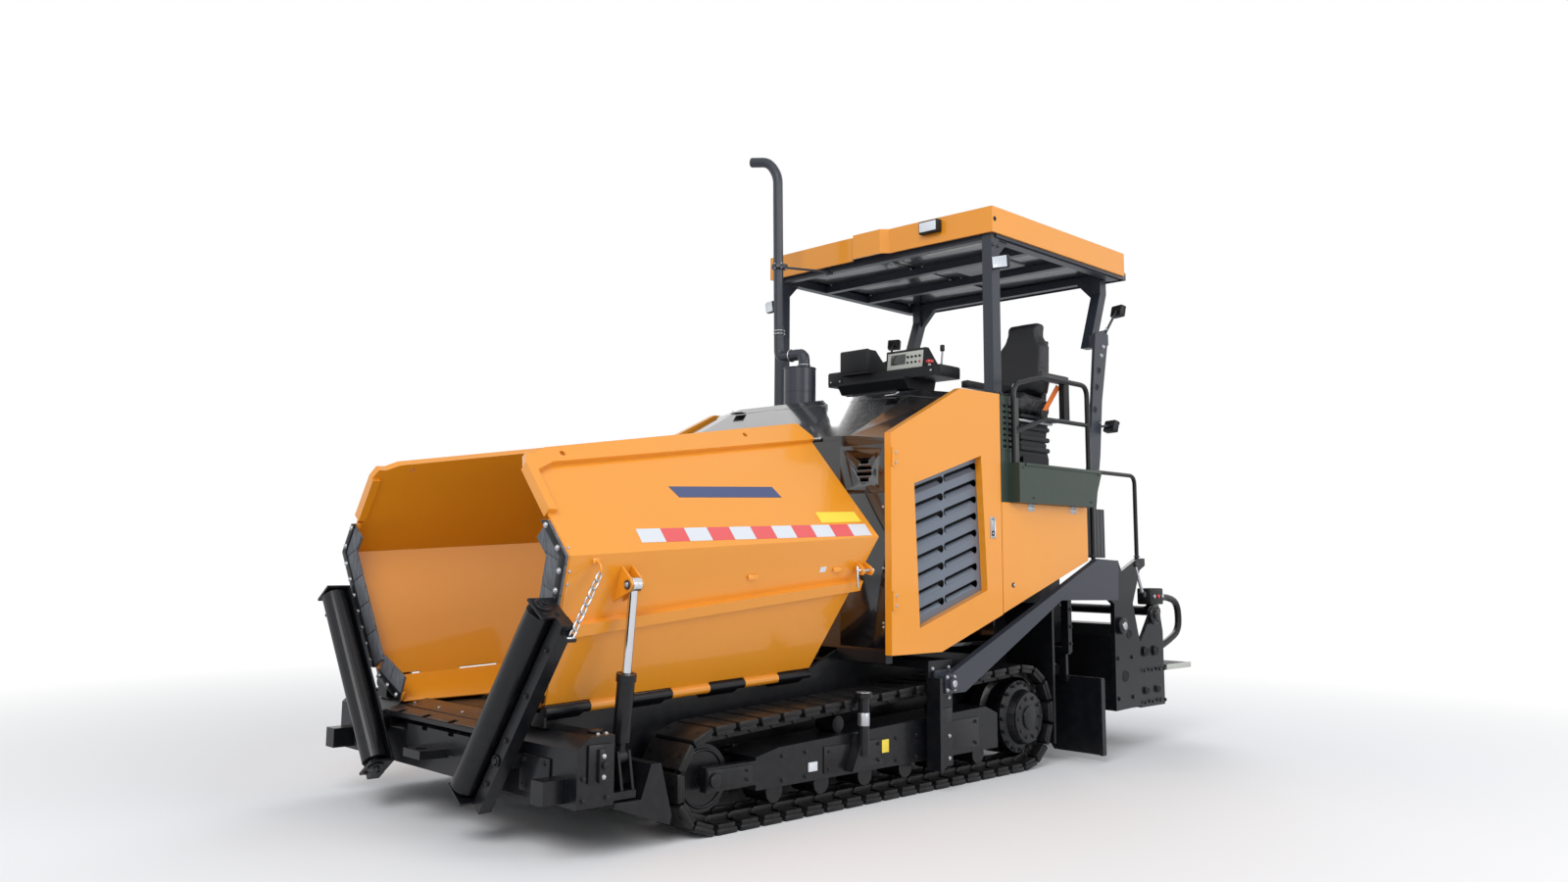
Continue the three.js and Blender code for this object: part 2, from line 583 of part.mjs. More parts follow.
function wing() {
  const start = 30; // the panel's lower edge stays this far from the hinge axis
  const foot = (share) => hingePoint(share).addScaledVector(wingUp, start);
  const lower = slab([foot(0), foot(1), creaseRear, creaseFront], WING_PLATE, 0);
  const rimZ = (y) => RIM.z0 + 43 + ((y - RIM.y0 - 78) * (RIM.z1 - RIM.z0 - 43)) / (RIM.y1 - RIM.y0 - 78);
  const outline = [
    [CREASE.y0, CREASE.z0], [CREASE.y1, CREASE.z1], [RIM.y1, RIM.z1 - 72],
    [RIM.y1 - 60, rimZ(RIM.y1 - 60)],
    [RIM.y0 + 120, rimZ(RIM.y0 + 120)], [RIM.y0 + 60, rimZ(RIM.y0) - 8], [RIM.y0 + 18, RIM.z0 + 22],
    [RIM.y0, RIM.z0 - 20],
  ];
  const upper = slab(outline.map(([y, z]) => high(y, z)), WING_PLATE, 0);
  const band = 62;
  const topBand = outline.slice(2).map(([y, z]) => high(y, z));
  topBand.push(
    high(RIM.y0 + 40, RIM.z0 - 50), high(RIM.y0 + 130, rimZ(RIM.y0 + 130) - band),
    high(RIM.y1, RIM.z1 - 90),
  );
  const frontBand = [
    [RIM.y0, RIM.z0 - 20], [RIM.y0 + 12, 1310], [RIM.y0 + 52, 1310], [RIM.y0 + 42, RIM.z0 - 20],
  ];
  const pieces = [
    lower, upper, frontStrip(44, -6, FLANGE), slab(topBand, 2, 24),
    slab(frontBand.map(([y, z]) => high(y, z)).reverse(), 24, 24),
  ];
  // long stiffening channel
  const ribZ = (y) => 880 + ((y + 2080) * (1032 - 880)) / 1560;
  const rib = [
    [-2295, ribZ(-2295) - 24], [-560, ribZ(-560) - 24], [-560, ribZ(-560) + 24],
    [-2295, ribZ(-2295) + 24],
  ];
  pieces.push(slab(rib.map(([y, z]) => low(y, z)), 2, 34));
  // knuckles with their tabs
  for (const [from, to] of wingKnuckles()) {
    pieces.push(rod(hingePoint(from), hingePoint(to), HINGE.r, 14));
    pieces.push(
      slab(
        [
          hingePoint(from), hingePoint(to), foot(to).addScaledVector(wingUp, 5),
          foot(from).addScaledVector(wingUp, 5),
        ],
        WING_PLATE, 0,
      ),
    );
  }
  // ears of the wing cylinder
  const { y, topX, topZ } = WING_CYL;
  for (const side of [-1, 1]) {
    const inner = y + side * (EYE_HALF + EYE_GAP);
    const outer = inner + side * 10;
    const root0 = low(y, topZ - 75);
    const root1 = low(y, topZ + 75);
    const outline2 = [
      [root0.x - 5, root0.z], [topX + 8, topZ - 26], [topX + 28, topZ], [topX + 14, topZ + 26],
      [root1.x - 5, root1.z],
    ];
    pieces.push(plateY(outline2, Math.min(inner, outer), Math.max(inner, outer)).applyMatrix4(wingLean));
  }
  const holes = [-2164, -1041].map((hy) => {
    const centre = high(hy, rimZ(hy) - 32);
    const n = upperPlane.normal.clone();
    return rod(centre.clone().addScaledVector(n, -60), centre.clone().addScaledVector(n, 60), 13, 12);
  });
  return cut(join(...pieces), ...holes);
}

// A strip across the wing's front edge that faces forward, from near to far ahead of the edge.
function frontStrip(width, near, far) {
  const edge = (z) => {
    const bottom = hingePoint(0);
    const t = (z - bottom.z) / (CREASE.z0 - bottom.z);
    if (t <= 1) return V(bottom.x + t * (CREASE.x - bottom.x), bottom.y + t * (CREASE.y0 - bottom.y), z);
    const u = (z - CREASE.z0) / (RIM.z0 - CREASE.z0);
    return V(CREASE.x + u * (RIM.x0 - CREASE.x), CREASE.y0 + u * (RIM.y0 - CREASE.y0), z);
  };
  const levels = [600, CREASE.z0, 1285];
  const loops = levels.map((z) => {
    const p = edge(z);
    const x = p.x - 4;
    return [
      V(x - width, p.y - far, z), V(x, p.y - far, z), V(x, p.y - near, z), V(x - width, p.y - near, z),
    ];
  });
  return loft(loops, alongZ);
}

addPair("hopper_wing", wing(), YELLOW);
addPair("wing_flap", frontStrip(130, FLANGE + GAP, FLANGE + 14), RUBBER);

// ---------------------------------------------------------------- cylinders
// A cylinder in the plane across the given pin axis: its barrel with a foot eye, and its rod with a head eye.
function barrel(foot, head, pinAxis, length, r, rodR) {
  const dir = head.clone().sub(foot).normalize();
  const at = (d) => foot.clone().addScaledVector(dir, d);
  const across = pinAxis.clone().multiplyScalar(EYE_HALF);
  const body = join(
    rod(foot.clone().sub(across), foot.clone().add(across), 28, 20),
    rod(at(18), at(70), EYE_HALF - 1, 12),
    rod(at(62), at(length - 26), r, 20),
    rod(at(length - 30), at(length), r + 5, 20),
  );
  const pin = pinAxis.clone().multiplyScalar(40);
  return cut(
    body, rod(at(70), at(length + 5), rodR + 0.8, 20),
    rod(foot.clone().sub(pin), foot.clone().add(pin), PIN_R + 0.5, 16),
  );
}

function pistonRod(foot, head, pinAxis, start, rodR) {
  const dir = head.clone().sub(foot).normalize();
  const reach = head.distanceTo(foot);
  const at = (d) => foot.clone().addScaledVector(dir, d);
  const across = pinAxis.clone().multiplyScalar(EYE_HALF);
  const body = join(
    rod(at(start), at(reach - 14), rodR, 18),
    rod(head.clone().sub(across), head.clone().add(across), 30, 20),
  );
  const pin = pinAxis.clone().multiplyScalar(40);
  return cut(body, rod(head.clone().sub(pin), head.clone().add(pin), PIN_R + 0.5, 16));
}

const wingFoot = V(WING_CYL.baseX, WING_CYL.y, WING_CYL.baseZ);
const wingHead = V(WING_CYL.topX, WING_CYL.y, WING_CYL.topZ);
const wingBarrel = barrel(wingFoot, wingHead, V(0, 1, 0), WING_CYL.barrel, WING_CYL.r, WING_CYL.rod);
addPair("wing_cylinder_barrel", wingBarrel.applyMatrix4(wingLean), BLACK);
const wingRod = pistonRod(wingFoot, wingHead, V(0, 1, 0), WING_CYL.barrel - 25, WING_CYL.rod);
addPair("wing_cylinder_rod", wingRod.applyMatrix4(wingLean), CHROME);

const liftFoot = V(LIFT.x, LIFT.topY, LIFT.topZ);
const liftHead = V(LIFT.x, LIFT.endY, LIFT.endZ);
addPair(
  "lift_cylinder_barrel", barrel(liftFoot, liftHead, V(1, 0, 0), LIFT.barrel, LIFT.r, LIFT.rod), BLACK,
);
addPair("lift_cylinder_rod", pistonRod(liftFoot, liftHead, V(1, 0, 0), 90, LIFT.rod), CHROME);

// ---------------------------------------------------------------- push rollers
const rollerLow = V(ROLLER.x0, ROLLER.y, ROLLER.z0);
const rollerHigh = V(ROLLER.x1, ROLLER.y, ROLLER.z1);
const rollerDir = rollerHigh.clone().sub(rollerLow).normalize();
const armSide = V(rollerDir.z, 0, -rollerDir.x); // outward and down, from the roller to its arm

function pushRoller() {
  const neck = 24;
  const length = rollerHigh.distanceTo(rollerLow);
  const at = (d) => rollerLow.clone().addScaledVector(rollerDir, d);
  return join(
    rod(at(neck), at(length - neck), ROLLER.r, 28), rod(at(GAP - 1 + 6), at(length - 5.3), 26, 16),
  );
}

function rollerArm() {
  const length = rollerHigh.distanceTo(rollerLow);
  const at = (d, off) => rollerLow.clone().addScaledVector(rollerDir, d).addScaledVector(armSide, off);
  const bar = (d0, d1, off0, off1, y0, y1) => {
    const corners = [at(d0, off0), at(d1, off0), at(d1, off1), at(d0, off1)].map((p) => [p.x, p.z]);
    return plateY(corners, y0, y1);
  };
  const [near, far] = ARM_OFF;
  const cover = -45; // how far the end plates and the plate behind the roller reach past its centre line
  const [front, rear] = [ROLLER.y - 45, ROLLER.y + 70];
  const end = 6; // the end plates stand this far outside the roller's ends
  const pieces = [bar(-end, length + end, near, far, ...ARM_Y)];
  pieces.push(bar(-end, 5, cover, near + 3, front, rear));
  pieces.push(bar(length - 5, length + end, cover, near + 3, front, rear));
  pieces.push(bar(-end, length + end, cover, near + 3, rear - 10, rear));
  // lug that takes the hold-up chain
  pieces.push(bar(length - 34, length - 22, far - 5, far + 45, ARM_Y[0] + 12, ARM_Y[1] - 6));
  const { x, z } = PUSH_PIVOT;
  const hole = rod(V(x, ARM_Y[0] - 30, z), V(x, ARM_Y[1] + 30, z), PIN_R + 0.5, 16);
  return cut(join(...pieces), hole);
}

addPair("push_roller_arm", rollerArm(), BLACK);
addPair("push_roller", pushRoller(), BLACK);

// ---------------------------------------------------------------- engine bay
const COWL_HALF = BODY_HALF - 46;
const SEAM_Y = 60; // between the hood lid and the fixed cowl
const CREST_Y = 147;
const STACK = { x: -480, y: 270, r: 32, jointX: -375, joint: 2390, top: ROOF.z1 + 526 };
const STAY = {
  x: -390, y: FRONT_POST_Y - 25, z: ROOF.z0 - 20,
}; // where the stack's stay meets the canopy
const MUFFLER = { x: -300, y: 270, r: 98, z0: 1905, z1: 2300 };

// Hood section at y, right to left: a flat middle, and a facet down to each side.
function hoodTop(y) {
  const t = Math.min(1, (y - WALL_Y) / (CREST_Y - WALL_Y));
  const side = 1742 + t * (2030 - 1742);
  const top = side + 26 + t * 10;
  return [[-COWL_HALF, side], [-700, top], [700, top], [COWL_HALF, side]];
}

const HOOD_THICK = 20;

function hoodLoop(y) {
  const top = hoodTop(y);
  const under = top.map(([x, z]) => [x, z - HOOD_THICK]).reverse();
  return [...top, ...under].map(([x, z]) => V(x, y, z));
}

function engineCowl() {
  const sill = DOOR_SILL + GAP;
  const below = (y, drop) => hoodTop(y).map(([x, z]) => [x, z - drop]).reverse();
  const wall = plateY(
    [[-COWL_HALF, sill], [COWL_HALF, sill], ...below(WALL_Y, HOOD_THICK + GAP)], WALL_Y, WALL_Y + 12,
  );
  const doorSeat = BODY_HALF - SKIN - GAP;
  const back = plateY(
    [[-COWL_HALF, sill], [COWL_HALF, sill], ...below(HOOD_Y1, 5)], HOOD_Y1 - 12, HOOD_Y1,
  );
  const crest = loft([SEAM_Y + 6, CREST_Y, HOOD_Y1].map(hoodLoop), alongY);
  const pieces = [wall, back, crest];
  const vents = [];
  for (const s of [-1, 1]) {
    const x = (a, b) => (s > 0 ? [a, b] : [-b, -a]);
    pieces.push(box(...x(COWL_HALF - 5, doorSeat), WALL_Y, WALL_Y + 12, sill, 1700));
    pieces.push(box(...x(FRAME_HALF + 5, COWL_HALF), WALL_Y, HOOD_Y1, sill, sill + 16));
    const rail = [
      [WALL_Y, 1680], [SEAM_Y + 20, 1925], [HOOD_Y1, 1925], [HOOD_Y1, 1990], [SEAM_Y + 20, 1990],
      [SEAM_Y + 20, 1955], [WALL_Y, 1710],
    ];
    pieces.push(plateX(rail, ...x(COWL_HALF - 14, COWL_HALF)));
    for (const [dz, half] of [[-45, 28], [-15, 48], [15, 48], [45, 28]]) {
      vents.push(box(s * 800 - half, s * 800 + half, WALL_Y - 20, WALL_Y + 30, 1573 + dz, 1587 + dz));
    }
  }
  const pass = rod(V(MUFFLER.x, MUFFLER.y, 1980), V(MUFFLER.x, MUFFLER.y, 2200), MUFFLER.r + GAP, 24);
  return cut(join(...pieces), pass, ...vents);
}

const hoodLid = loft([WALL_Y, SEAM_Y].map(hoodLoop), alongY);

function muffler() {
  const { x, y, r, z0, z1 } = MUFFLER;
  return join(
    rod(V(x, y, z0), V(x, y, z1), r, 24),
    bentBar(
      [V(x + 35, y, z1 - 10), V(x + 35, y, STACK.joint), V(STACK.jointX, y, STACK.joint)], 36, 60, 12,
    ),
  );
}

function stackPipe() {
  const { x, y, r, jointX, joint, top } = STACK;
  const stayZ = STAY.z - 17;
  const line = [
    V(jointX - GAP, y, joint), V(x, y, joint), V(x - 22, y, top - 110), V(x - 80, y - 20, top - 12),
    V(x - 200, y - 60, top + 5),
  ];
  return join(
    bentBar(line, r, 120, 12),
    rod(V(x, y, stayZ - 12), V(x, y, stayZ + 12), 52, 16),
    rod(V(x, y, stayZ), V(STAY.x, STAY.y - 2, STAY.z), 8, 8),
  );
}

const engineBlock = join(
  box(-340, 340, -260, 380, 640.3, 1250),
  box(-220, 220, -200, 330, 1240, 1480),
  rod(V(-380, 60, 950), V(380, 60, 950), 150, 20),
);

add("engine_cowl", engineCowl(), GLOSS());
add("hood_lid", hoodLid, GLOSS());
add("engine_block", engineBlock, GREY());
add("muffler", muffler(), GREY());
add("exhaust_stack", stackPipe(), GREY());

// ---------------------------------------------------------------- side doors, lids and consoles
const DOOR_Y0 = -441;
const DOOR_Y1 = 512;
const LID = { y1: 1415, z1: DECK_Z, zRear: 1148 };

function sideDoor() {
  const outline = [
    [DOOR_Y0, 683], [-40, 683], [DOOR_Y1, 855], [DOOR_Y1, 2054], [CREST_Y, 2048], [DOOR_Y0, 1766],
  ];
  const opening = [[-256, 1523], [-218, 807], [371, 987], [327, 1700]];
  const panel = plateX(outline, BODY_HALF - SKIN, BODY_HALF);
  const hinges = [900, 1600].map(
    (z) => rod(V(BODY_HALF + 5, DOOR_Y0 + 10, z), V(BODY_HALF + 5, DOOR_Y0 + 10, z + 90), 9, 10),
  );
  return cut(join(panel, ...hinges), plateX(opening, BODY_HALF - SKIN - 10, BODY_HALF + 10));
}

// Slanted blades between two uprights behind the door's opening.
function louvre() {
  const x0 = BODY_HALF - SKIN - GAP;
  const pieces = [
    plateX([[-276, 1540], [-276, 790], [-250, 790], [-250, 1540]], x0 - 24, x0),
    plateX([[390, 1000], [390, 1715], [350, 1715], [350, 1000]], x0 - 24, x0),
  ];
  const blades = 6;
  for (let i = 0; i < blades; i += 1) {
    const z = 862 + i * 122;
    const rise = 178;
    const blade = [[-262, z], [372, z + rise], [372, z + rise + 52], [-262, z + 52]];
    pieces.push(plateX(blade, x0 - 22, x0 - 16));
    pieces.push(
      slab(
        [
          V(x0 - 20, -262, z), V(x0 - 20, 372, z + rise), V(x0 - 1, 372, z + rise - 26),
          V(x0 - 1, -262, z - 26),
        ],
        0, 6,
      ),
    );
  }
  return join(...pieces);
}

const lockerLid = plateX(
  [[DOOR_Y1 + 6, 861], [LID.y1, LID.zRear], [LID.y1, LID.z1], [DOOR_Y1 + 6, LID.z1]], BODY_HALF - SKIN,
  BODY_HALF,
);

function sideBox() {
  const floor = DECK_Z + GAP;
  const column = box(POST_X[0], BODY_HALF, DOOR_Y1 + 5, 700, floor, SIDE_COLUMN_Z);
  const body = plateX([
    [695, floor], [1390, floor], [1490, SIDE_BOX_Z - 8], [1490, SIDE_BOX_Z], [600, SIDE_BOX_Z],
    [600, floor],
  ], BODY_HALF - 146, BODY_HALF + 63);
  const slots = [];
  for (let i = 0; i < 8; i += 1) {
    for (const y of [540, 590]) slots.push(
      box(BODY_HALF - 15, BODY_HALF + 10, y, y + 36, DECK_Z + 300 + i * 32, DECK_Z + 314 + i * 32),
    );
  }
  return cut(join(column, body), ...slots);
}

addPair("side_door", sideDoor(), YELLOW);
addPair("door_louvre", louvre(), GREY);
addPair("locker_lid", lockerLid, YELLOW);
addPair("side_box", sideBox(), GREEN);

function handrail() {
  const x = BODY_HALF + 24;
  const foot = SIDE_BOX_Z + GAP;
  const top = SIDE_BOX_Z + 510;
  const middle = SIDE_BOX_Z + 272;
  return join(
    bentBar(
      [V(x, 612, foot), V(x, 612, top - 70), V(x, 900, top), V(x, 1405, top), V(x, 1405, foot)], 15, 70,
      10,
    ),
    bentBar([V(x, 612, middle - 102), V(x, 930, middle - 3), V(x, 1405, middle)], 13, 60, 10),
  );
}
addPair("handrail", handrail(), BLACK);

// ---------------------------------------------------------------- operator's station
function deck() {
  const z = DECK_Z;
  const pieces = [box(-COWL_HALF, COWL_HALF, HOOD_Y1 + GAP, DECK_Y1, z - 20, z)];
  pieces.push(
    box(-COWL_HALF, COWL_HALF, DECK_Y1 - 12, DECK_Y1, 1165, z),
    box(-760, 760, HOOD_Y1 + GAP, HOOD_Y1 + 14, z - 5, 2020),
  );
  for (const s of [-1, 1]) {
    const x = (a, b) => (s > 0 ? [a, b] : [-b, -a]);
    pieces.push(box(...x(FRAME_HALF + 5, COWL_HALF), 1440, 1456, 1165, z - 5));
    pieces.push(box(...x(COWL_HALF - 14, COWL_HALF), 1440, DECK_Y1, 1165, z - 5));
  }
  return join(...pieces);
}

function consoleStand() {
  const y = 760;
  const z = DECK_Z + 780; // underside of the desk
  const pieces = [box(-200, 150, y - 110, y + 130, DECK_Z + GAP, z - 40)];
  pieces.push(
    plateX(
      [[y - 150, z - 15], [y - 110, z - 70], [y + 150, z - 70], [y + 170, z], [y - 150, z]], -290, 240,
    ),
  );
  pieces.push(box(-420, 420, y - 90, y + 170, z - 4, z + 56));
  const screen = [
    [y - 140, z + 50], [y + 60, z + 50], [y + 40, z + 110], [y - 60, z + 200], [y - 140, z + 200],
  ];
  const panel = [
    [y - 60, z + 50], [y + 120, z + 50], [y + 80, z + 80], [y - 20, z + 180], [y - 50, z + 180],
  ];
  return join(...pieces, plateX(screen, -270, -50), plateX(panel, 30, 330));
}

const SEAT = { x: 610, half: 225, y0: 960, y1: 1400, z: DECK_Z + 660 };

function seatBase() {
  const { x, half, y0, y1, z } = SEAT;
  return join(
    box(x - 150, x + 150, y0 + 120, y1 - 40, DECK_Z + GAP, z - 360),
    plateX([
      [y0 + 90, z - 370], [y1 - 20, z - 370], [y1 - 60, z - 270], [y1 - 20, z - 130], [y0 + 60, z - 130],
      [y0 + 120, z - 270],
    ], x - 140, x + 140),
    box(x - half + 20, x + half - 20, y0 + 20, y1 - 10, z - 135, z - 120),
    plateX(
      [[y1 - 62, z - 130], [y1 - 20, z - 130], [y1 + 35, z + 380], [y1 + 3, z + 380], [y1 - 62, z]],
      x - 120, x + 120,
    ),
    box(x - half - 60, x - half - 8, y0 + 120, y1 - 20, z + 90, z + 130),
    box(x - half - 45, x + half + 45, y1 - 40, y1 + 10, z - 140, z - 118),
    box(x - half - 45, x - half - 10, y1 - 50, y1 + 10, z - 140, z + 100),
    box(x + half + 10, x + half + 45, y1 - 50, y1 + 10, z - 140, z + 100),
    box(x + half + 8, x + half + 60, y0 + 120, y1 - 20, z + 90, z + 130),
  );
}

function seatCushion() {
  const { x, half, y0, y1, z } = SEAT;
  const outline = [
    [y0, z - 110], [y1 - 66, z - 119.7], [y1 - 66, z - 10], [y0 + 60, z + 20], [y0, z - 20],
  ];
  return plateX(outline, x - half, x + half);
}

function seatBack() {
  const { x, y1, z } = SEAT;
  const lean = (zz) => ((zz - z) * 85) / 500;
  const loop = (zz, half, deep) => {
    const y = y1 - 62 + lean(zz);
    return [
      V(x - half, y - deep, zz), V(x + half, y - deep, zz), V(x + half, y - GAP, zz),
      V(x - half, y - GAP, zz),
    ];
  };
  return loft(
    [
      loop(z + 5, 200, 70), loop(z + 90, 215, 95), loop(z + 340, 200, 80), loop(z + 420, 150, 80),
      loop(z + 520, 135, 75),
    ],
    alongZ,
  );
}

add("deck", deck(), BLACK());
add("console", consoleStand(), BLACK());
add("seat_base", seatBase(), BLACK());
add("seat_cushion", seatCushion(), VINYL());
add("seat_back", seatBack(), VINYL());

// ---------------------------------------------------------------- canopy
function canopyFrame() {
  const top = ROOF.z1 - 54 - GAP; // the roof skin rests on the posts here
  const beam = [ROOF.z0 - 27, ROOF.z0 + 23]; // beams' lower and upper faces
  const half = POST / 2;
  const [inner, outer] = POST_X;
  const front = FRONT_POST_Y + half;
  const { y0, z0, y1, z1 } = REAR_POST;
  const rearX = [inner - REAR_POST.in, outer - REAR_POST.in];
  const pieces = [];
  for (const s of [-1, 1]) {
    const x = (a, b) => (s > 0 ? [a, b] : [-b, -a]);
    pieces.push(box(...x(inner, outer), FRONT_POST_Y - half, front, SIDE_COLUMN_Z + GAP, top));
    pieces.push(plateX([
      [y0 - half, z0 - 40], [y0 + half, z0 - 40], [y1 + half, z1], [y1 + half, top], [y1 - half, top],
      [y1 - half, z1],
    ], ...x(...rearX)));
    // cross tube from the rear post to its bracket
    pieces.push(box(...x(rearX[1] - 5, outer), y0 - half, y0 + half - 10, z0 - 30, z0 + 40));
    // tall rear bracket
    const foot = DECK_Z + GAP;
    pieces.push(plateX([
      [1560, foot], [1690, foot], [1760, DECK_Z + 340], [1800, DECK_Z + 690], [1895, DECK_Z + 1100],
      [1880, DECK_Z + 1160], [1740, DECK_Z + 1115], [1690, DECK_Z + 740], [1640, DECK_Z + 390],
    ], ...x(outer - 1, outer + 19)));
    pieces.push(box(...x(inner - 10, outer + 19), 1560, 1690, foot, DECK_Z + 12));
    pieces.push(box(...x(inner, outer - 5), FRONT_POST_Y - half, y1 + half, ...beam));
    // gussets under the beams
    const brace = [[front - 5, beam[0] + 5], [front - 5, beam[0] - 105], [front + 110, beam[0] + 5]];
    pieces.push(plateX(brace, ...x(inner + 20, inner + 50)));
    const corner = rearX[0] + 10;
    const knee = [[s * corner, beam[0] + 5], [s * corner, beam[0] - 130], [s * (corner - 130), beam[0] + 5]];
    pieces.push(plateY(knee, y1 - 20, y1 + 20));
  }
  const reach = inner + 5;
  for (const y of [FRONT_POST_Y, 1100, 1550, y1]) pieces.push(box(-reach, reach, y - 25, y + 25, ...beam));
  pieces.push(box(STAY.x - 25, STAY.x + 25, STAY.y, STAY.y + 12, STAY.z - 20, top - 5));
  return join(...pieces);
}

function roofShell() {
  const { half, y0, y1, z0, z1 } = ROOF;
  const plan = (inset) => [
    [-half + inset, y0 + 14 + inset], [-300, y0 + inset], [-150, y0 + inset], [-110, y0 - 40 + inset],
    [110, y0 - 40 + inset], [150, y0 + inset],
    [300, y0 + inset], [half - inset, y0 + 14 + inset], [half - inset, y1 - 60],
    [half - inset - 60, y1 - inset],
    [-half + inset + 60, y1 - inset], [-half + inset, y1 - 60],
  ];
  return cut(plateZ(plan(0), z0, z1), plateZ(plan(14), z0 - 10, z1 - 54));
}

add("canopy_frame", canopyFrame(), GREY());
add("roof", roofShell(), YELLOW());

// ---------------------------------------------------------------- tow arms and tow points
function towArm() {
  const outline = [
    [-72, 498], [-58, 565], [10, 578], [1490, 1159], [1724, 1149], [1711, 911], [1065, 922], [120, 478],
    [-40, 478],
  ];
  const hole = rod(V(ARM_X[0] - 65, TOW.y, TOW.z), V(ARM_X[1] + 97, TOW.y, TOW.z), 21, 24);
  return cut(plateX(outline, ...ARM_X), hole);
}

function towBlock() {
  const [x0, x1] = ARM_X;
  return join(
    box(COLUMN_X[1] + GAP, x0 - 2, TOW.y - 62, TOW.y + 62, TOW.z - 62, TOW.z + 62),
    rod(V(x0 - 3, TOW.y, TOW.z), V(x1 + 3, TOW.y, TOW.z), 20, 24),
    box(x1 + 2, x1 + 12, TOW.y - 45, TOW.y + 45, TOW.z - 45, TOW.z + 45),
    rod(V(x1 + 8, TOW.y, TOW.z), V(x1 + 34, TOW.y, TOW.z), 30, 20),
  );
}
addPair("tow_arm", towArm(), GREY);
addPair("tow_point", towBlock(), GREY);

// ---------------------------------------------------------------- screed
const HANGER = [ARM_X[0] - 28, ARM_X[0] - GAP];

const SCREED_RAIL = { x: HANGER[0] + 13.5, y0: 1520, y1: 2055, top: 1685 };

function screedMain() {
  const { y0, y1, z0, z1 } = SCREED;
  const half = HANGER[0] + 5;
  const pieces = [plateX([[y0 + 5, z0], [y1, z0], [y1, z0 + 170], [y0 + 5, z0 + 170]], -half, half)];
  pieces.push(
    plateX(
      [[y0 + 40, z0 + 160], [y1 - 45, z0 + 160], [y1 - 45, 760], [y0 + 90, 760], [y0 + 40, 690]], -half,
      half,
    ),
  );
  pieces.push(box(-half, half, y1 - 50, y1 + 10 - GAP, 500, 560));
  for (const s of [-1, 1]) {
    const x = (a, b) => (s > 0 ? [a, b] : [-b, -a]);
    pieces.push(plateX([
      [1650, 930], [1730, z1], [y0 + 2, z0], [y1, z0 + 10], [y1 + 4, 640], [1960, z1], [2060, 1090],
      [2130, 1120], [2130, 1165], [2040, 1165], [1830, 1085], [1790, 1150], [1500, 1150], [1500, 1100],
      [1650, 1080],
    ], ...x(...HANGER)));
    const { x: rail, y0: front, y1: rear, top } = SCREED_RAIL;
    const railAt = (y, z) => V(s * rail, y, z);
    pieces.push(
      bentBar(
        [railAt(front, 1130), railAt(front, top), railAt(rear, top), railAt(rear, 1150)], 13, 60, 10,
      ),
    );
    for (const side of [-1, 1]) {
      const middle = s * LIFT.x + side * (EYE_HALF + EYE_GAP + 8);
      pieces.push(
        plateX(
          [
            [LIFT.endY - 45, 750], [LIFT.endY + 45, 750], [LIFT.endY + 28, LIFT.endZ + 28],
            [LIFT.endY - 28, LIFT.endZ + 28],
          ],
          middle - 8, middle + 8,
        ),
      );
    }
  }
  return join(...pieces);
}

function screedExtension() {
  const { y0, y1, z0, z1, out } = EXT;
  const inner = 12;
  const pieces = [
    box(inner, out, y0 + 5, y1, z0, z0 + 110), box(inner, out, y0 + 90, y1 - 10, z0 + 100, 600),
  ];
  pieces.push(box(inner, out, y0, y0 + 95, 505, 555));
  const end = plateX(
    [[y0, z0], [y1 + 25, z0], [y1 + 25, 700], [y1 - 20, 870], [y1 - 80, 870], [y0 + 60, 700], [y0, 640]],
    out - 5, out + 18,
  );
  pieces.push(
    end, rod(V(200, y1 - 50, 830), V(out + 30, y1 - 50, 830), 30, 16),
    box(200, 240, y1 - 75, y1 - 25, 595, 830),
  );
  // hydraulic hose from the top fitting round to the lower one
  const hoseX = out - 60;
  pieces.push(bentBar([
    V(hoseX, y1 - 30, 840), V(hoseX, y1 + 180, 925), V(hoseX, y1 + 400, 880), V(hoseX, y1 + 410, 690),
    V(hoseX, y1 + 200, 610), V(hoseX, y1 - 15, 560),
  ], HOSE_R, 110, 10));
  // footboard and its brackets
  pieces.push(box(60, out - 20, y1 + 120, FOOTBOARD_Y, 455, 478));
  for (const x of [120, 500, 860]) pieces.push(
    plateX([[y1 - 5, 300], [y1 + 130, 430], [2700, 456], [y1 - 5, 470]], x, x + 12),
  );
  return join(...pieces);
}
addPair("screed_extension", screedExtension(), BLACK);
add("screed", screedMain(), BLACK());

// ---------------------------------------------------------------- augers
function auger() {
  const { y, z, r, out, shaft } = AUGER;
  const x0 = 60 + GAP;
  const x1 = 905 - GAP;
  const pitch = 260;
  const segments = 42;
  const from = x0 + 20;
  const length = out - 30 - from;
  const loops = [];
  for (let i = 0; i <= segments; i += 1) {
    const x = from + (length * i) / segments;
    const angle = (2 * Math.PI * length * i) / (segments * pitch);
    const at = (radius, dx) => V(x + dx, y + radius * Math.cos(angle), z + radius * Math.sin(angle));
    loops.push([at(shaft - 8, -6), at(r, -5), at(r, 5), at(shaft - 8, 6)]);
  }
  return join(
    rod(V(x0, y, z), V(x1, y, z), shaft, 20), loft(loops, (p) => [Math.hypot(p.y - y, p.z - z), p.x]),
  );
}
addPair("auger", auger(), STEEL);

// The origin is on the ground at the middle of the machine's length.
root.position.y = -(ROLLER.y - ROLLER.r + FOOTBOARD_Y) / 2;

export default root;
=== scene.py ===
"""A compact tracked asphalt paver: its finishes, trim, seat, lamps and stage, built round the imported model.

Laid out as an add-on: sizes and colours are properties, each group of like pieces has an operator, and a
panel in the 3D view's sidebar lists them. Lengths are in metres: +Z is up, the hopper at the front faces -Y
and the machine's left side is +X.
"""
import json
import math

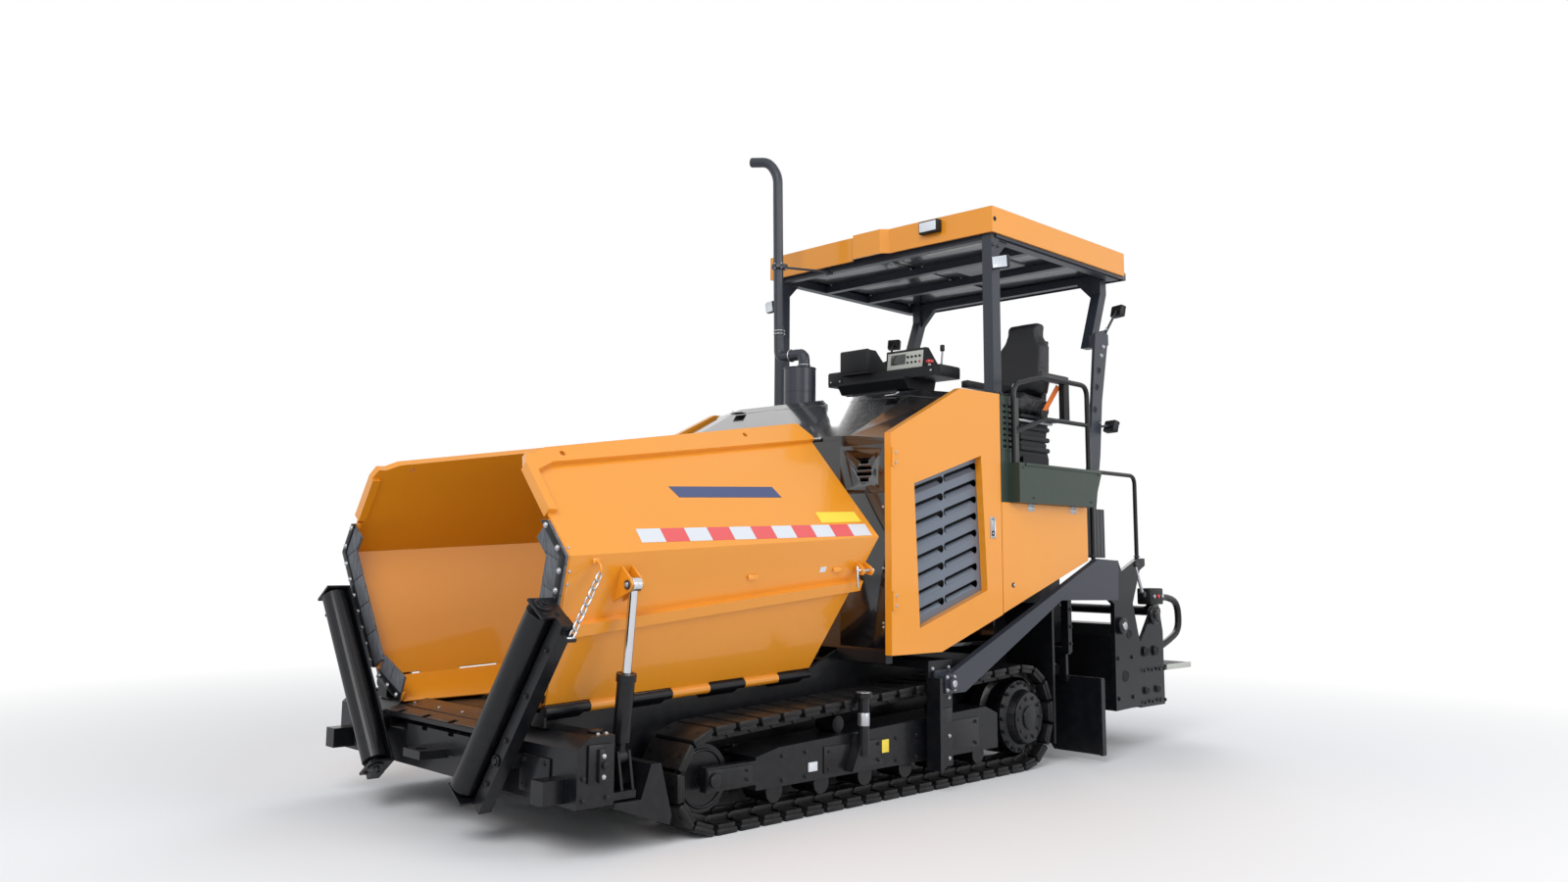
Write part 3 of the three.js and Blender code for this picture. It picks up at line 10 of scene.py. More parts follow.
import bpy
from bpy.props import FloatProperty, FloatVectorProperty, PointerProperty
from mathutils import Matrix, Vector

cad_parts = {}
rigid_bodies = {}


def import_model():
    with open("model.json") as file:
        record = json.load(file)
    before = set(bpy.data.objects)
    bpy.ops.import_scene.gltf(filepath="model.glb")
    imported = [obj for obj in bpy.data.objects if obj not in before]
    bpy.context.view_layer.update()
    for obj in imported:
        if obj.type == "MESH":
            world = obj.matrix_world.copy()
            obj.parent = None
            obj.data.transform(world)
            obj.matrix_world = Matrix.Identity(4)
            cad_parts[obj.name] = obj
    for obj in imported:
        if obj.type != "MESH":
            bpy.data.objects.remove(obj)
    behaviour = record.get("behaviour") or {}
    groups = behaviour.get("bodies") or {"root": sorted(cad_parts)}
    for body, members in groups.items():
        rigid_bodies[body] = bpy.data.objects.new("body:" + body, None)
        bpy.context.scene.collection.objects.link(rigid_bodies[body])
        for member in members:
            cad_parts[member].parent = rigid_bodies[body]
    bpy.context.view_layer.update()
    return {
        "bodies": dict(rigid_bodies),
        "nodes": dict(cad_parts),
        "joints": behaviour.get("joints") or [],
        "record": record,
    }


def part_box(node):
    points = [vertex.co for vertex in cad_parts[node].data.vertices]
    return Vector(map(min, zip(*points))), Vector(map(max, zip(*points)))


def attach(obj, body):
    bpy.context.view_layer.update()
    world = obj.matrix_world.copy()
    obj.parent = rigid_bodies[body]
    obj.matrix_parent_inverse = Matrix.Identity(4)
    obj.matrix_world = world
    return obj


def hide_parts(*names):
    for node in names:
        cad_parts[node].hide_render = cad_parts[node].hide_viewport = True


bl_info = {
    "name": "Asphalt paver trim and finishes",
    "version": (1, 0, 0),
    "blender": (4, 5, 0),
    "location": "3D View > Sidebar > Paver",
    "description": "Adds the trim, lamps, seat and finishes of a tracked asphalt paver to its packed model",
    "category": "Object",
}

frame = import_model()
NODES = frame["nodes"]
BODIES = frame["bodies"]

# The trim is laid out from a datum line across the machine, and finished() moves each piece from it into place.
TOW_POINT_Y = -0.020  # the tow point's pin, from the datum
DATUM = Vector((0, sum(corner.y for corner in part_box("tow_point_left")) / 2 - TOW_POINT_Y, 0))


def cad_box(name):
    """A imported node's lowest and highest corners, measured from the datum."""
    low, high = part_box(name)
    return low - DATUM, high - DATUM


# Places the trim lines up with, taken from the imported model.
HULL_OUT = cad_box("side_door_left")[0].x + 0.040  # outer face of the side doors
DOOR_FRONT = cad_box("side_door_left")[0].y
DECK_TOP = cad_box("seat_base")[0].z
ROOF_LOW, ROOF_HIGH = cad_box("roof")
SCREED_OUT = cad_box("screed_extension_left")[1].x

# Corners of the hopper wing's two panels on the left side: hinge line, crease and rim.
HINGE_FRONT = Vector((0.680, -2.250, 0.533))
HINGE_REAR = Vector((0.680, -0.718, 0.593))
CREASE_FRONT = Vector((0.932, -2.324, 1.145))
CREASE_REAR = Vector((0.9466, -0.500, 1.252))
RIM_FRONT = Vector((0.630, -2.360, 1.520))
FLAP_FRONT = 0.020  # the rubber's face stands this far ahead of the wing's front edge


# ---------------------------------------------------------------- modelling
def deselect():
    if bpy.context.object and bpy.context.object.mode != "OBJECT":
        bpy.ops.object.mode_set(mode="OBJECT")
    bpy.ops.object.select_all(action="DESELECT")


def pick(*pieces):
    deselect()
    for piece in pieces:
        piece.select_set(True)
    bpy.context.view_layer.objects.active = pieces[0]


def settle():
    """Puts the new primitive's place, turn and size into its mesh."""
    bpy.ops.object.transform_apply(location=True, rotation=True, scale=True)
    return bpy.context.object


def apply_modifier(piece, kind, **settings):
    pick(piece)
    bpy.ops.object.modifier_add(type=kind)
    modifier = piece.modifiers[-1]
    for key, value in settings.items():
        setattr(modifier, key, value)
    bpy.ops.object.modifier_apply(modifier=modifier.name)
    return piece


def soften(piece, width, segments=2, angle=40):
    """Breaks the edges and shades the rounds smooth."""
    apply_modifier(piece, "BEVEL", width=width, segments=segments, limit_method="ANGLE",
                   angle_limit=math.radians(angle))
    bpy.ops.object.shade_smooth_by_angle(angle=math.radians(angle))
    return piece


def block(low, high, edge=0.002):
    deselect()
    low, high = Vector(low), Vector(high)
    bpy.ops.mesh.primitive_cube_add(size=1, location=(low + high) / 2, scale=high - low)
    piece = settle()
    return soften(piece, edge) if edge else piece


def facing(direction):
    return Vector(direction).to_track_quat("Z", "Y").to_euler()


def bar(start, end, radius, sides=20, edge=0.0015):
    """A round bar, its end rims broken."""
    deselect()
    start, end = Vector(start), Vector(end)
    bpy.ops.mesh.primitive_cylinder_add(vertices=sides, radius=radius, depth=(end - start).length,
                                        location=(start + end) / 2, rotation=facing(end - start))
    piece = settle()
    return soften(piece, edge, angle=50) if edge else piece


def ring(centre, direction, radius, thick, sides=32):
    deselect()
    bpy.ops.mesh.primitive_torus_add(major_radius=radius, minor_radius=thick, major_segments=sides,
                                     minor_segments=8, location=centre, rotation=facing(direction))
    piece = settle()
    bpy.ops.object.shade_smooth_by_angle(angle=math.radians(50))
    return piece


def sheet_metal(corners, depth, edge=0.0):
    """A flat piece cut to its corners and extruded by its depth."""
    deselect()
    bpy.ops.mesh.primitive_circle_add(vertices=len(corners), radius=1, fill_type="NGON")
    piece = bpy.context.object
    for vertex, corner in zip(piece.data.vertices, corners):
        vertex.co = corner
    bpy.ops.object.mode_set(mode="EDIT")
    bpy.ops.mesh.select_all(action="SELECT")
    bpy.ops.mesh.extrude_region_move(TRANSFORM_OT_translate={"value": Vector(depth)})
    bpy.ops.mesh.select_all(action="SELECT")
    bpy.ops.mesh.normals_make_consistent(inside=False)
    bpy.ops.object.mode_set(mode="OBJECT")
    return soften(piece, edge) if edge else piece


def hole_through(piece, cutter):
    """Cuts one piece with another and removes the cutter."""
    apply_modifier(piece, "BOOLEAN", operation="DIFFERENCE", solver="EXACT", object=cutter)
    bpy.data.objects.remove(cutter)
    return piece


def push_face(piece, direction, inset, depth):
    """Insets the face that looks along the direction and moves it by the depth."""
    pick(piece)
    direction = Vector(direction).normalized()
    bpy.ops.object.mode_set(mode="EDIT")
    bpy.ops.mesh.select_all(action="DESELECT")
    bpy.ops.object.mode_set(mode="OBJECT")
    flat = [face for face in piece.data.polygons if face.normal.dot(direction) > 0.99]
    max(flat, key=lambda face: face.area).select = True
    bpy.ops.object.mode_set(mode="EDIT")
    bpy.ops.mesh.inset(thickness=inset)
    bpy.ops.transform.translate(value=direction * depth)
    bpy.ops.object.mode_set(mode="OBJECT")
    return piece


def bent_bar(points, radius, resolution=6, cyclic=False):
    """A round bar or hose along a smooth line."""
    deselect()
    bpy.ops.curve.primitive_nurbs_path_add()
    curve = bpy.context.object.data
    spline = curve.splines[0]
    spline.points.add(max(0, len(points) - len(spline.points)))
    for point, place in zip(spline.points, points):
        point.co = (*place, 1)
    spline.order_u = min(4, len(points))
    spline.resolution_u = resolution
    spline.use_cyclic_u = cyclic
    curve.bevel_depth = radius
    curve.bevel_resolution = 3
    curve.use_fill_caps = True
    bpy.ops.object.convert(target="MESH")
    piece = bpy.context.object
    bpy.ops.object.shade_smooth_by_angle(angle=math.radians(50))
    return piece


def copy_to(piece, matrix):
    """A copy with a mesh of its own, put where the matrix says."""
    copy = piece.copy()
    copy.data = piece.data.copy()
    copy.data.transform(matrix)
    bpy.context.collection.objects.link(copy)
    return copy


def placed(piece, places, direction=None):
    """Copies of a piece made at the origin, its top turned along the direction, and the first one removed."""
    turn = facing(direction).to_matrix().to_4x4() if direction else Matrix.Identity(4)
    copies = [copy_to(piece, Matrix.Translation(place) @ turn) for place in places]
    bpy.data.objects.remove(piece)
    return copies


def bolts(places, direction, size=0.009, dome=False):
    """Hexagon or domed bolt heads on their washers."""
    washer = bar((0, 0, -0.001), (0, 0, size * 0.22), size * 1.28, sides=14, edge=0)
    if dome:
        head = bar((0, 0, size * 0.1), (0, 0, size * 0.85), size, sides=14, edge=size * 0.45)
    else:
        head = bar((0, 0, size * 0.1), (0, 0, size * 0.9), size, sides=6, edge=size * 0.12)
    pick(head, washer)
    bpy.ops.object.join()
    return joined(placed(bpy.context.object, places, direction))


def around(centre, radius, count):
    """Places on a circle about an axis along X."""
    turns = (i * math.pi / (count / 2) for i in range(count))
    return [Vector(centre) + Vector((0, radius * math.cos(a), radius * math.sin(a))) for a in turns]


def joined(parts):
    pick(*parts)
    if len(parts) > 1:
        bpy.ops.object.join()
    return bpy.context.object


def stretch(piece, direction, amount):
    """Moves the half of a piece that lies along the direction, which draws its middle out."""
    pick(piece)
    direction = Vector(direction)
    bpy.ops.object.mode_set(mode="EDIT")
    bpy.ops.mesh.select_all(action="DESELECT")
    bpy.ops.object.mode_set(mode="OBJECT")
    for vertex in piece.data.vertices:
        vertex.select = vertex.co.dot(direction) > 0.0001
    bpy.ops.object.mode_set(mode="EDIT")
    bpy.ops.transform.translate(value=direction * amount)
    bpy.ops.object.mode_set(mode="OBJECT")
    return piece


def finished(name, body, slot, *parts):
    """Joins the dressed parts to one piece, moves it from the datum into place and gives it to a body."""
    piece = joined(parts)
    piece.data.transform(Matrix.Translation(DATUM))
    piece.name = name
    piece.data.name = name
    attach(piece, body)
    return piece


def on_other_side(piece, name, body):
    """The same piece mirrored to the machine's right side."""
    twin = copy_to(piece, Matrix.Scale(-1, 4, (1, 0, 0)))
    twin.parent = None
    twin.name = name
    twin.data.name = name
    pick(twin)
    bpy.ops.object.mode_set(mode="EDIT")
    bpy.ops.mesh.select_all(action="SELECT")
    bpy.ops.mesh.normals_make_consistent(inside=False)
    bpy.ops.object.mode_set(mode="OBJECT")
    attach(twin, body)
    return twin


def pair(name, body, slot, *parts):
    """A finished piece on the left and its mirror image on the right."""
    sided = body + "_left" in BODIES
    left = finished(name + "_left", body + "_left" if sided else body, slot, *parts)
    right = on_other_side(left, name + "_right", body + "_right" if sided else body)
    return left, right


def dressed(piece, finish):
    """Gives every part of a piece one finish."""
    piece.data.materials.clear()
    piece.data.materials.append(material(finish))
    return piece


class Parts(list):
    """The parts of a piece, each dressed as it is added"""

    def add(self, part, finish):
        self.append(dressed(part, finish))


def all_dressed(parts, finish):
    return [dressed(part, finish) for part in parts]


# ---------------------------------------------------------------- finishes
def new_group(name, inputs, outputs):
    """A shader group with named sockets: (name, type, default) for each input, (name, type) for each output."""
    group = bpy.data.node_groups.new(name, "ShaderNodeTree")
    for label, kind, default in inputs:
        group.interface.new_socket(name=label, in_out="INPUT", socket_type=kind).default_value = default
    for label, kind in outputs:
        group.interface.new_socket(name=label, in_out="OUTPUT", socket_type=kind)
    return group, group.nodes.new("NodeGroupInput").outputs, group.nodes.new("NodeGroupOutput").inputs


def node(tree, kind, settings=(), **inputs):
    """Adds a shader node. A keyword names an input; a value is set on it and an output is linked to it."""
    made = tree.nodes.new("ShaderNode" + kind)
    for key, value in dict(settings).items():
        setattr(made, key, value)
    for label, value in inputs.items():
        index = int(label[1:]) if label[0] == "i" and label[1:].isdigit() else label.replace("_", " ")
        if isinstance(value, bpy.types.NodeSocket):
            tree.links.new(value, made.inputs[index])
        else:
            made.inputs[index].default_value = value
    return made


def maths(tree, operation, a, b=0.0):
    return node(tree, "Math", {"operation": operation, "use_clamp": operation == "MULTIPLY"}, i0=a,
                i1=b).outputs[0]


def ranged(tree, value, low, high, to_low=0.0, to_high=1.0):
    return node(tree, "MapRange", i0=value, i1=low, i2=high, i3=to_low, i4=to_high).outputs[0]


def mixed(tree, factor, a, b):
    return node(tree, "Mix", {"data_type": "RGBA"}, i0=factor, i6=a, i7=b).outputs[2]


def noise(tree, scale, detail=3.0, stretch=None):
    place = node(tree, "TexCoord").outputs["Object"]
    if stretch:
        place = node(tree, "Mapping", Vector=place, Scale=stretch).outputs[0]
    return node(tree, "TexNoise", Vector=place, Scale=scale, Detail=detail).outputs[0]


COLOUR, NUMBER, VECTOR = "NodeSocketColor", "NodeSocketFloat", "NodeSocketVector"


def paint_surface_group():
    """Sprayed paint: slow colour change, orange peel, and road dust that gathers low down."""
    group, given, made = new_group("Paint surface", [
        ("Colour", COLOUR, (0.5, 0.5, 0.5, 1)), ("Dust colour", COLOUR, (0.19, 0.165, 0.14, 1)),
        ("Roughness", NUMBER, 0.3), ("Variation", NUMBER, 0.06), ("Dust", NUMBER, 0.2),
        ("Peel scale", NUMBER, 260.0)], [("Colour", COLOUR), ("Roughness", NUMBER), ("Height", NUMBER)])
    slow = noise(group, 1.7)
    patches = noise(group, 23.0, 5.0)
    swing = maths(group, "MULTIPLY_ADD", slow, given["Variation"])
    brightness = group.nodes[-1]
    brightness.use_clamp = False
    brightness.inputs[2].default_value = 0.97
    tinted = node(group, "HueSaturation", Value=swing, Color=given["Colour"]).outputs[0]
    height = node(group, "SeparateXYZ", Vector=node(group, "TexCoord").outputs["Object"]).outputs[2]
    low_down = ranged(group, height, 1.25, 0.05)
    broken = ranged(group, patches, 0.42, 0.68)
    dusty = maths(group, "MULTIPLY", maths(group, "MULTIPLY", low_down, broken), given["Dust"])
    group.links.new(mixed(group, dusty, tinted, given["Dust colour"]), made["Colour"])
    rougher = maths(group, "ADD", given["Roughness"], maths(group, "MULTIPLY", dusty, 0.5))
    smudge = maths(group, "MULTIPLY", ranged(group, patches, 0.3, 0.7), 0.05)
    group.links.new(maths(group, "ADD", rougher, smudge), made["Roughness"])
    peel = node(group, "TexNoise", Vector=node(group, "TexCoord").outputs["Object"], Scale=given["Peel scale"],
                Detail=1.0).outputs[0]
    group.links.new(peel, made["Height"])


def broken_edges_group():
    """Rounded edges, and a mask of the corners where a finish rubs thin."""
    group, given, made = new_group("Broken edges", [
        ("Radius", NUMBER, 0.003), ("Amount", NUMBER, 0.4)], [("Normal", VECTOR), ("Mask", NUMBER)])
    rounded = node(group, "Bevel", {"samples": 4}, Radius=given["Radius"]).outputs[0]
    flat = node(group, "NewGeometry").outputs["True Normal"]
    turned = node(group, "VectorMath", {"operation": "DOT_PRODUCT"}, i0=rounded, i1=flat).outputs["Value"]
    corner = ranged(group, turned, 0.97, 0.80)
    worn = ranged(group, noise(group, 41.0, 6.0), 0.50, 0.62)
    group.links.new(rounded, made["Normal"])
    group.links.new(maths(group, "MULTIPLY", maths(group, "MULTIPLY", corner, worn), given["Amount"]),
                    made["Mask"])


def grain_group():
    """Cast, rubbed or moulded grain, stretched along one direction where its stretch says so."""
    group, given, made = new_group("Grain", [
        ("Colour", COLOUR, (0.1, 0.1, 0.1, 1)), ("Second colour", COLOUR, (0.2, 0.2, 0.2, 1)),
        ("Scale", NUMBER, 60.0), ("Stretch", VECTOR, (1, 1, 1)), ("Roughness", NUMBER, 0.5),
        ("Contrast", NUMBER, 0.5)], [("Colour", COLOUR), ("Roughness", NUMBER), ("Height", NUMBER)])
    place = node(group, "Mapping", Vector=node(group, "TexCoord").outputs["Object"],
                 Scale=given["Stretch"]).outputs[0]
    fine = node(group, "TexNoise", Vector=place, Scale=given["Scale"], Detail=6.0).outputs[0]
    patch = maths(group, "MULTIPLY", ranged(group, fine, 0.35, 0.68), given["Contrast"])
    group.links.new(mixed(group, patch, given["Colour"], given["Second colour"]), made["Colour"])
    group.links.new(maths(group, "ADD", given["Roughness"], maths(group, "MULTIPLY", patch, 0.18)),
                    made["Roughness"])
    group.links.new(fine, made["Height"])


def hide_group():
    """Vinyl pebbles: rounded cells with shallow creases between them, the creases darkened with painted shade.
    """
    group, given, made = new_group("Vinyl hide", [
        ("Colour", COLOUR, (0.02, 0.02, 0.02, 1)), ("Scale", NUMBER, 420.0)],
        [("Colour", COLOUR), ("Height", NUMBER)])
    place = node(group, "TexCoord").outputs["Object"]
    cells = node(group, "TexVoronoi", {"feature": "DISTANCE_TO_EDGE"}, Vector=place,
                 Scale=given["Scale"]).outputs[0]
    group.links.new(ranged(group, cells, 0.0, 0.18), made["Height"])
    # the colour is darker in the creases between the cells, which is painted shade; the noise below adds a
    # random tone
    crease_shade = ranged(group, cells, 0.0, 0.10, 0.72, 1.0)
    tone_and_crease_shade = maths(group, "MULTIPLY", crease_shade, ranged(group, noise(group, 7.0), 0.3, 0.7, 0.85, 1.0))
    group.links.new(node(group, "HueSaturation", Value=tone_and_crease_shade, Color=given["Colour"]).outputs[0],
                    made["Colour"])


def webbing_group():
    """Woven ribs across a belt, with painted shade in the grooves and a painted highlight on the crests."""
    group, given, made = new_group("Webbing", [("Colour", COLOUR, (0.8, 0.2, 0.02, 1)),
                                               ("Scale", NUMBER, 500.0)],
                                   [("Colour", COLOUR), ("Height", NUMBER)])
    place = node(group, "TexCoord").outputs["Object"]
    ribs = node(group, "TexWave", {"bands_direction": "DIAGONAL"}, Vector=place,
                Scale=given["Scale"]).outputs[1]
    group.links.new(ribs, made["Height"])
    # the colour is darker in the grooves and lighter on the crests: painted shade and painted highlight
    group.links.new(node(group, "HueSaturation", Value=ranged(group, ribs, 0.0, 1.0, 0.75, 1.05),
                         Color=given["Colour"]).outputs[0], made["Colour"])


def tread_group():
    """Raised lozenges of a chequered floor plate, two ways round."""
    group, given, made = new_group("Tread plate", [("Pitch", NUMBER, 34.0)],
                                   [("Height", NUMBER), ("Mask", NUMBER)])
    place = node(group, "TexCoord").outputs["Object"]
    raised = []
    for turn in (0.785, -0.785):
        spot = node(group, "Mapping", Vector=place, Rotation=(0, 0, turn)).outputs[0]
        scaled = node(group, "VectorMath", {"operation": "SCALE"}, i0=spot, Scale=given["Pitch"]).outputs[0]
        cell = node(group, "VectorMath", {"operation": "FRACTION"}, i0=scaled).outputs[0]
        split = node(group, "SeparateXYZ", Vector=cell).outputs
        along = maths(group, "ABSOLUTE", maths(group, "SUBTRACT", split[0], 0.5))
        across = maths(group, "ABSOLUTE", maths(group, "SUBTRACT", split[1], 0.5))
        raised.append(maths(group, "MULTIPLY", ranged(group, along, 0.36, 0.28),
                            ranged(group, across, 0.14, 0.07)))
    both = maths(group, "MAXIMUM", raised[0], raised[1])
    group.links.new(both, made["Height"])
    group.links.new(both, made["Mask"])


def start_material(name):
    made = bpy.data.materials.new(name)
    made.use_nodes = True
    tree = made.node_tree
    return made, tree, tree.nodes["Principled BSDF"]


def use_group(tree, name, **inputs):
    made = tree.nodes.new("ShaderNodeGroup")
    made.node_tree = bpy.data.node_groups[name]
    for label, value in inputs.items():
        made.inputs[label.replace("_", " ")].default_value = value
    return made.outputs


def bump(tree, shader, height, distance, normal=None, strength=0.5):
    made = node(tree, "Bump", Height=height, Distance=distance, Strength=strength)
    if normal is not None:
        tree.links.new(normal, made.inputs["Normal"])
    tree.links.new(made.outputs[0], shader.inputs["Normal"])


def painted(name, colour, roughness, wear=(0.03, 0.03, 0.03, 1), worn=0.3, dust=0.15, coat=0.0, metallic=0.0,
            radius=0.003, peel=0.00006, variation=0.06, specular=0.5):
    """Paint over metal: peel, dust and corners that rub through to the wear colour."""
    made, tree, shader = start_material(name)
    surface = use_group(tree, "Paint surface", Colour=colour, Roughness=roughness, Dust=dust,
                        Variation=variation)
    edges = use_group(tree, "Broken edges", Radius=radius, Amount=worn)
    tree.links.new(mixed(tree, edges["Mask"], surface["Colour"], wear), shader.inputs["Base Color"])
    tree.links.new(surface["Roughness"], shader.inputs["Roughness"])
    shader.inputs["Coat Weight"].default_value = coat
    shader.inputs["Coat Roughness"].default_value = 0.06
    shader.inputs["Specular IOR Level"].default_value = specular
    shader.inputs["Metallic"].default_value = metallic
    bump(tree, shader, surface["Height"], peel, edges["Normal"])
    return made


def grained(name, colour, second, roughness, metallic=0.0, scale=60.0, stretch=(1, 1, 1), depth=0.0004,
            contrast=0.5, radius=0.002, worn=0.0, wear=(0.3, 0.3, 0.31, 1), specular=0.5):
    """Cast, rolled or moulded material with a visible grain."""
    made, tree, shader = start_material(name)
    surface = use_group(tree, "Grain", Colour=colour, Second_colour=second, Scale=scale, Stretch=stretch,
                        Roughness=roughness, Contrast=contrast)
    edges = use_group(tree, "Broken edges", Radius=radius, Amount=worn)
    tree.links.new(mixed(tree, edges["Mask"], surface["Colour"], wear), shader.inputs["Base Color"])
    tree.links.new(surface["Roughness"], shader.inputs["Roughness"])
    shader.inputs["Metallic"].default_value = metallic
    shader.inputs["Specular IOR Level"].default_value = specular
    bump(tree, shader, surface["Height"], depth, edges["Normal"])
    return made


def vinyl(name, colour):
    made, tree, shader = start_material(name)
    surface = use_group(tree, "Vinyl hide", Colour=colour)
    tree.links.new(surface["Colour"], shader.inputs["Base Color"])
    shader.inputs["Roughness"].default_value = 0.48
    bump(tree, shader, surface["Height"], 0.0004, strength=0.6)
    return made


def webbing(name, colour):
    made, tree, shader = start_material(name)
    surface = use_group(tree, "Webbing", Colour=colour)
    tree.links.new(surface["Colour"], shader.inputs["Base Color"])
    shader.inputs["Roughness"].default_value = 0.7
    bump(tree, shader, surface["Height"], 0.0005)
    return made


def tread_plate(name, colour):
    made, tree, shader = start_material(name)
    surface = use_group(tree, "Paint surface", Colour=colour, Roughness=0.5, Dust=0.3)
    lozenges = use_group(tree, "Tread plate")
    bright = mixed(tree, maths(tree, "MULTIPLY", lozenges["Mask"], 0.35), surface["Colour"],
                   (0.22, 0.22, 0.23, 1))
    tree.links.new(bright, shader.inputs["Base Color"])
    tree.links.new(surface["Roughness"], shader.inputs["Roughness"])
    bump(tree, shader, lozenges["Height"], 0.003, strength=0.8)
    return made


def lamp_lens(name, colour, painted_reflector_shine):
    """A clear ribbed lens over a reflector: the faint emission paints the reflector's shine, and the darker
    bands along the ribs are painted shade.
    """
    made, tree, shader = start_material(name)
    place = node(tree, "TexCoord").outputs["Object"]
    ribs = node(tree, "TexWave", {"bands_direction": "X"}, Vector=place, Scale=42.0).outputs[1]
    # the darker bands along the ribs are painted shade
    tree.links.new(mixed(tree, ribs, colour, [c * 0.55 for c in colour[:3]] + [1]), shader.inputs["Base Color"])
    shader.inputs["Roughness"].default_value = 0.12
    shader.inputs["Coat Weight"].default_value = 1.0
    # the faint emission is a painted reflection that stands in for the reflector's shine
    shader.inputs["Emission Color"].default_value = colour
    shader.inputs["Emission Strength"].default_value = painted_reflector_shine
    bump(tree, shader, ribs, 0.0008)
    return made


def linear(*rgb):
    """A screen colour, 0 to 255, as the linear colour a shader takes."""
    parts = [c / 255 for c in rgb]
    return tuple(c / 12.92 if c <= 0.04045 else ((c + 0.055) / 1.055) ** 2.4 for c in parts) + (1.0,)


def make_finishes(colours):
    """Every finish on the machine, each made once under its own name."""
    yellow = (*colours.body_yellow, 1)
    black = (*colours.undercarriage_black, 1)
    slate = (*colours.post_slate, 1)
    green = (*colours.side_box_green, 1)
    painted("Body yellow", yellow, 0.30, wear=linear(150, 90, 30), worn=0.08, dust=0.03, coat=0.6)
    painted("Chassis black", black, 0.30, wear=linear(46, 47, 52), worn=0.14, dust=0.03, coat=0.12,
            specular=0.28)
    painted("Gloss black", linear(14, 15, 18), 0.14, wear=linear(60, 60, 64), worn=0.06, dust=0.0, coat=0.9)
    painted("Slate", slate, 0.36, wear=linear(96, 98, 104), worn=0.12, dust=0.02, coat=0.1, specular=0.4)
    painted("Louvre grey", linear(96, 106, 120), 0.30, wear=linear(130, 132, 138), worn=0.1, dust=0.0, coat=0.3)
    painted("Side box green", green, 0.42, wear=linear(70, 78, 74), worn=0.15, dust=0.05, coat=0.1)
    painted("Apron brown", linear(58, 40, 30), 0.40, wear=linear(120, 110, 100), worn=0.4, dust=0.25, coat=0.2)
    painted("Roof lining", linear(24, 26, 31), 0.18, worn=0.0, dust=0.0, coat=0.5)
    painted("Panel grey", linear(186, 188, 180), 0.45, wear=linear(120, 120, 116), worn=0.1, dust=0.0)
    painted("Hatch grey", linear(120, 124, 126), 0.4, worn=0.0, dust=0.0)
    painted("Knob red", linear(200, 35, 30), 0.3, worn=0.0, dust=0.0, coat=0.5)
    painted("Mark navy", linear(52, 68, 112), 0.35, worn=0.0, dust=0.0, coat=0.3, radius=0.0005)
    painted("Mark white", linear(214, 218, 224), 0.35, worn=0.0, dust=0.05, coat=0.3, radius=0.0005)
    painted("Mark red", linear(222, 84, 88), 0.35, worn=0.0, dust=0.05, coat=0.3, radius=0.0005)
    painted("Mark yellow", linear(240, 214, 72), 0.4, worn=0.0, dust=0.05, radius=0.0005)
    grained("Track steel", linear(20, 21, 24), linear(40, 38, 36), 0.36, metallic=0.3, scale=45, worn=0.3,
            wear=linear(84, 84, 88), specular=0.35)
    grained("Conveyor steel", linear(52, 46, 42), linear(96, 84, 74), 0.40, metallic=0.6, scale=30, worn=0.6)
    grained("Zinc", linear(196, 198, 202), linear(150, 152, 158), 0.28, metallic=0.9, scale=220, depth=0.0001)
    grained("Chromed rod", linear(214, 216, 220), linear(190, 192, 198), 0.08, metallic=1.0, scale=90,
            stretch=(1, 1, 12), depth=0.00001, contrast=0.3)
    grained("Rubber flap", linear(104, 107, 112), linear(74, 76, 82), 0.72, scale=34, stretch=(3, 1, 0.5),
            depth=0.0009, contrast=0.9)
    grained("Rubber black", linear(26, 27, 30), linear(44, 45, 48), 0.62, scale=140, depth=0.0003)
    grained("Moulded black", linear(20, 21, 24), linear(30, 31, 35), 0.45, scale=420, depth=0.0002,
            specular=0.3)
    grained("Engine iron", linear(58, 62, 66), linear(84, 84, 84), 0.55, metallic=0.4, scale=22, worn=0.3)
    # near black for holes, the exhaust's mouth, the latch's opening and the sheet behind the louvres: painted
    # shade
    grained("Dark recess", linear(6, 6, 7), linear(12, 12, 13), 0.8, scale=60)
    vinyl("Seat vinyl", linear(28, 29, 33))
    webbing("Belt orange", linear(236, 120, 40))
    tread_plate("Tread plate", linear(34, 35, 38))
    # the last number is each lens's painted glow, a painted reflection of its reflector's shine
    lamp_lens("Clear lens", linear(225, 232, 240), 0.15)
    lamp_lens("Tail lens", linear(170, 20, 20), 0.05)


def material(name):
    return bpy.data.materials[name]


CAD_FINISHES = {
    "Body yellow": ("hopper_wing", "side_door", "locker_lid", "roof"),
    "Gloss black": ("engine_cowl", "hood_lid"),
    "Slate": ("muffler", "exhaust_stack", "canopy_frame", "tow_arm", "tow_point"),
    "Louvre grey": ("door_louvre",),
    "Side box green": ("side_box",),
    "Track steel": ("track", "auger"),
    "Conveyor steel": ("conveyor", "hopper_floor"),
    "Chromed rod": ("wing_cylinder_rod", "lift_cylinder_rod"),
    "Rubber flap": ("wing_flap",),
    "Seat vinyl": ("seat_cushion", "seat_back"),
    "Moulded black": ("console", "seat_base"),
    "Engine iron": ("engine_block",),
    "Tread plate": ("deck",),
}


def cad_finish(name):
    """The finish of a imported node, found from its name without its side."""
    plain = name.removesuffix("_left").removesuffix("_right")
    for finish, plain_names in CAD_FINISHES.items():
        if plain in plain_names:
            return finish
    return "Chassis black"


# ---------------------------------------------------------------- places on the hopper wings
def plane_of(a, b, c):
    return a, (b - a).cross(c - a).normalized()


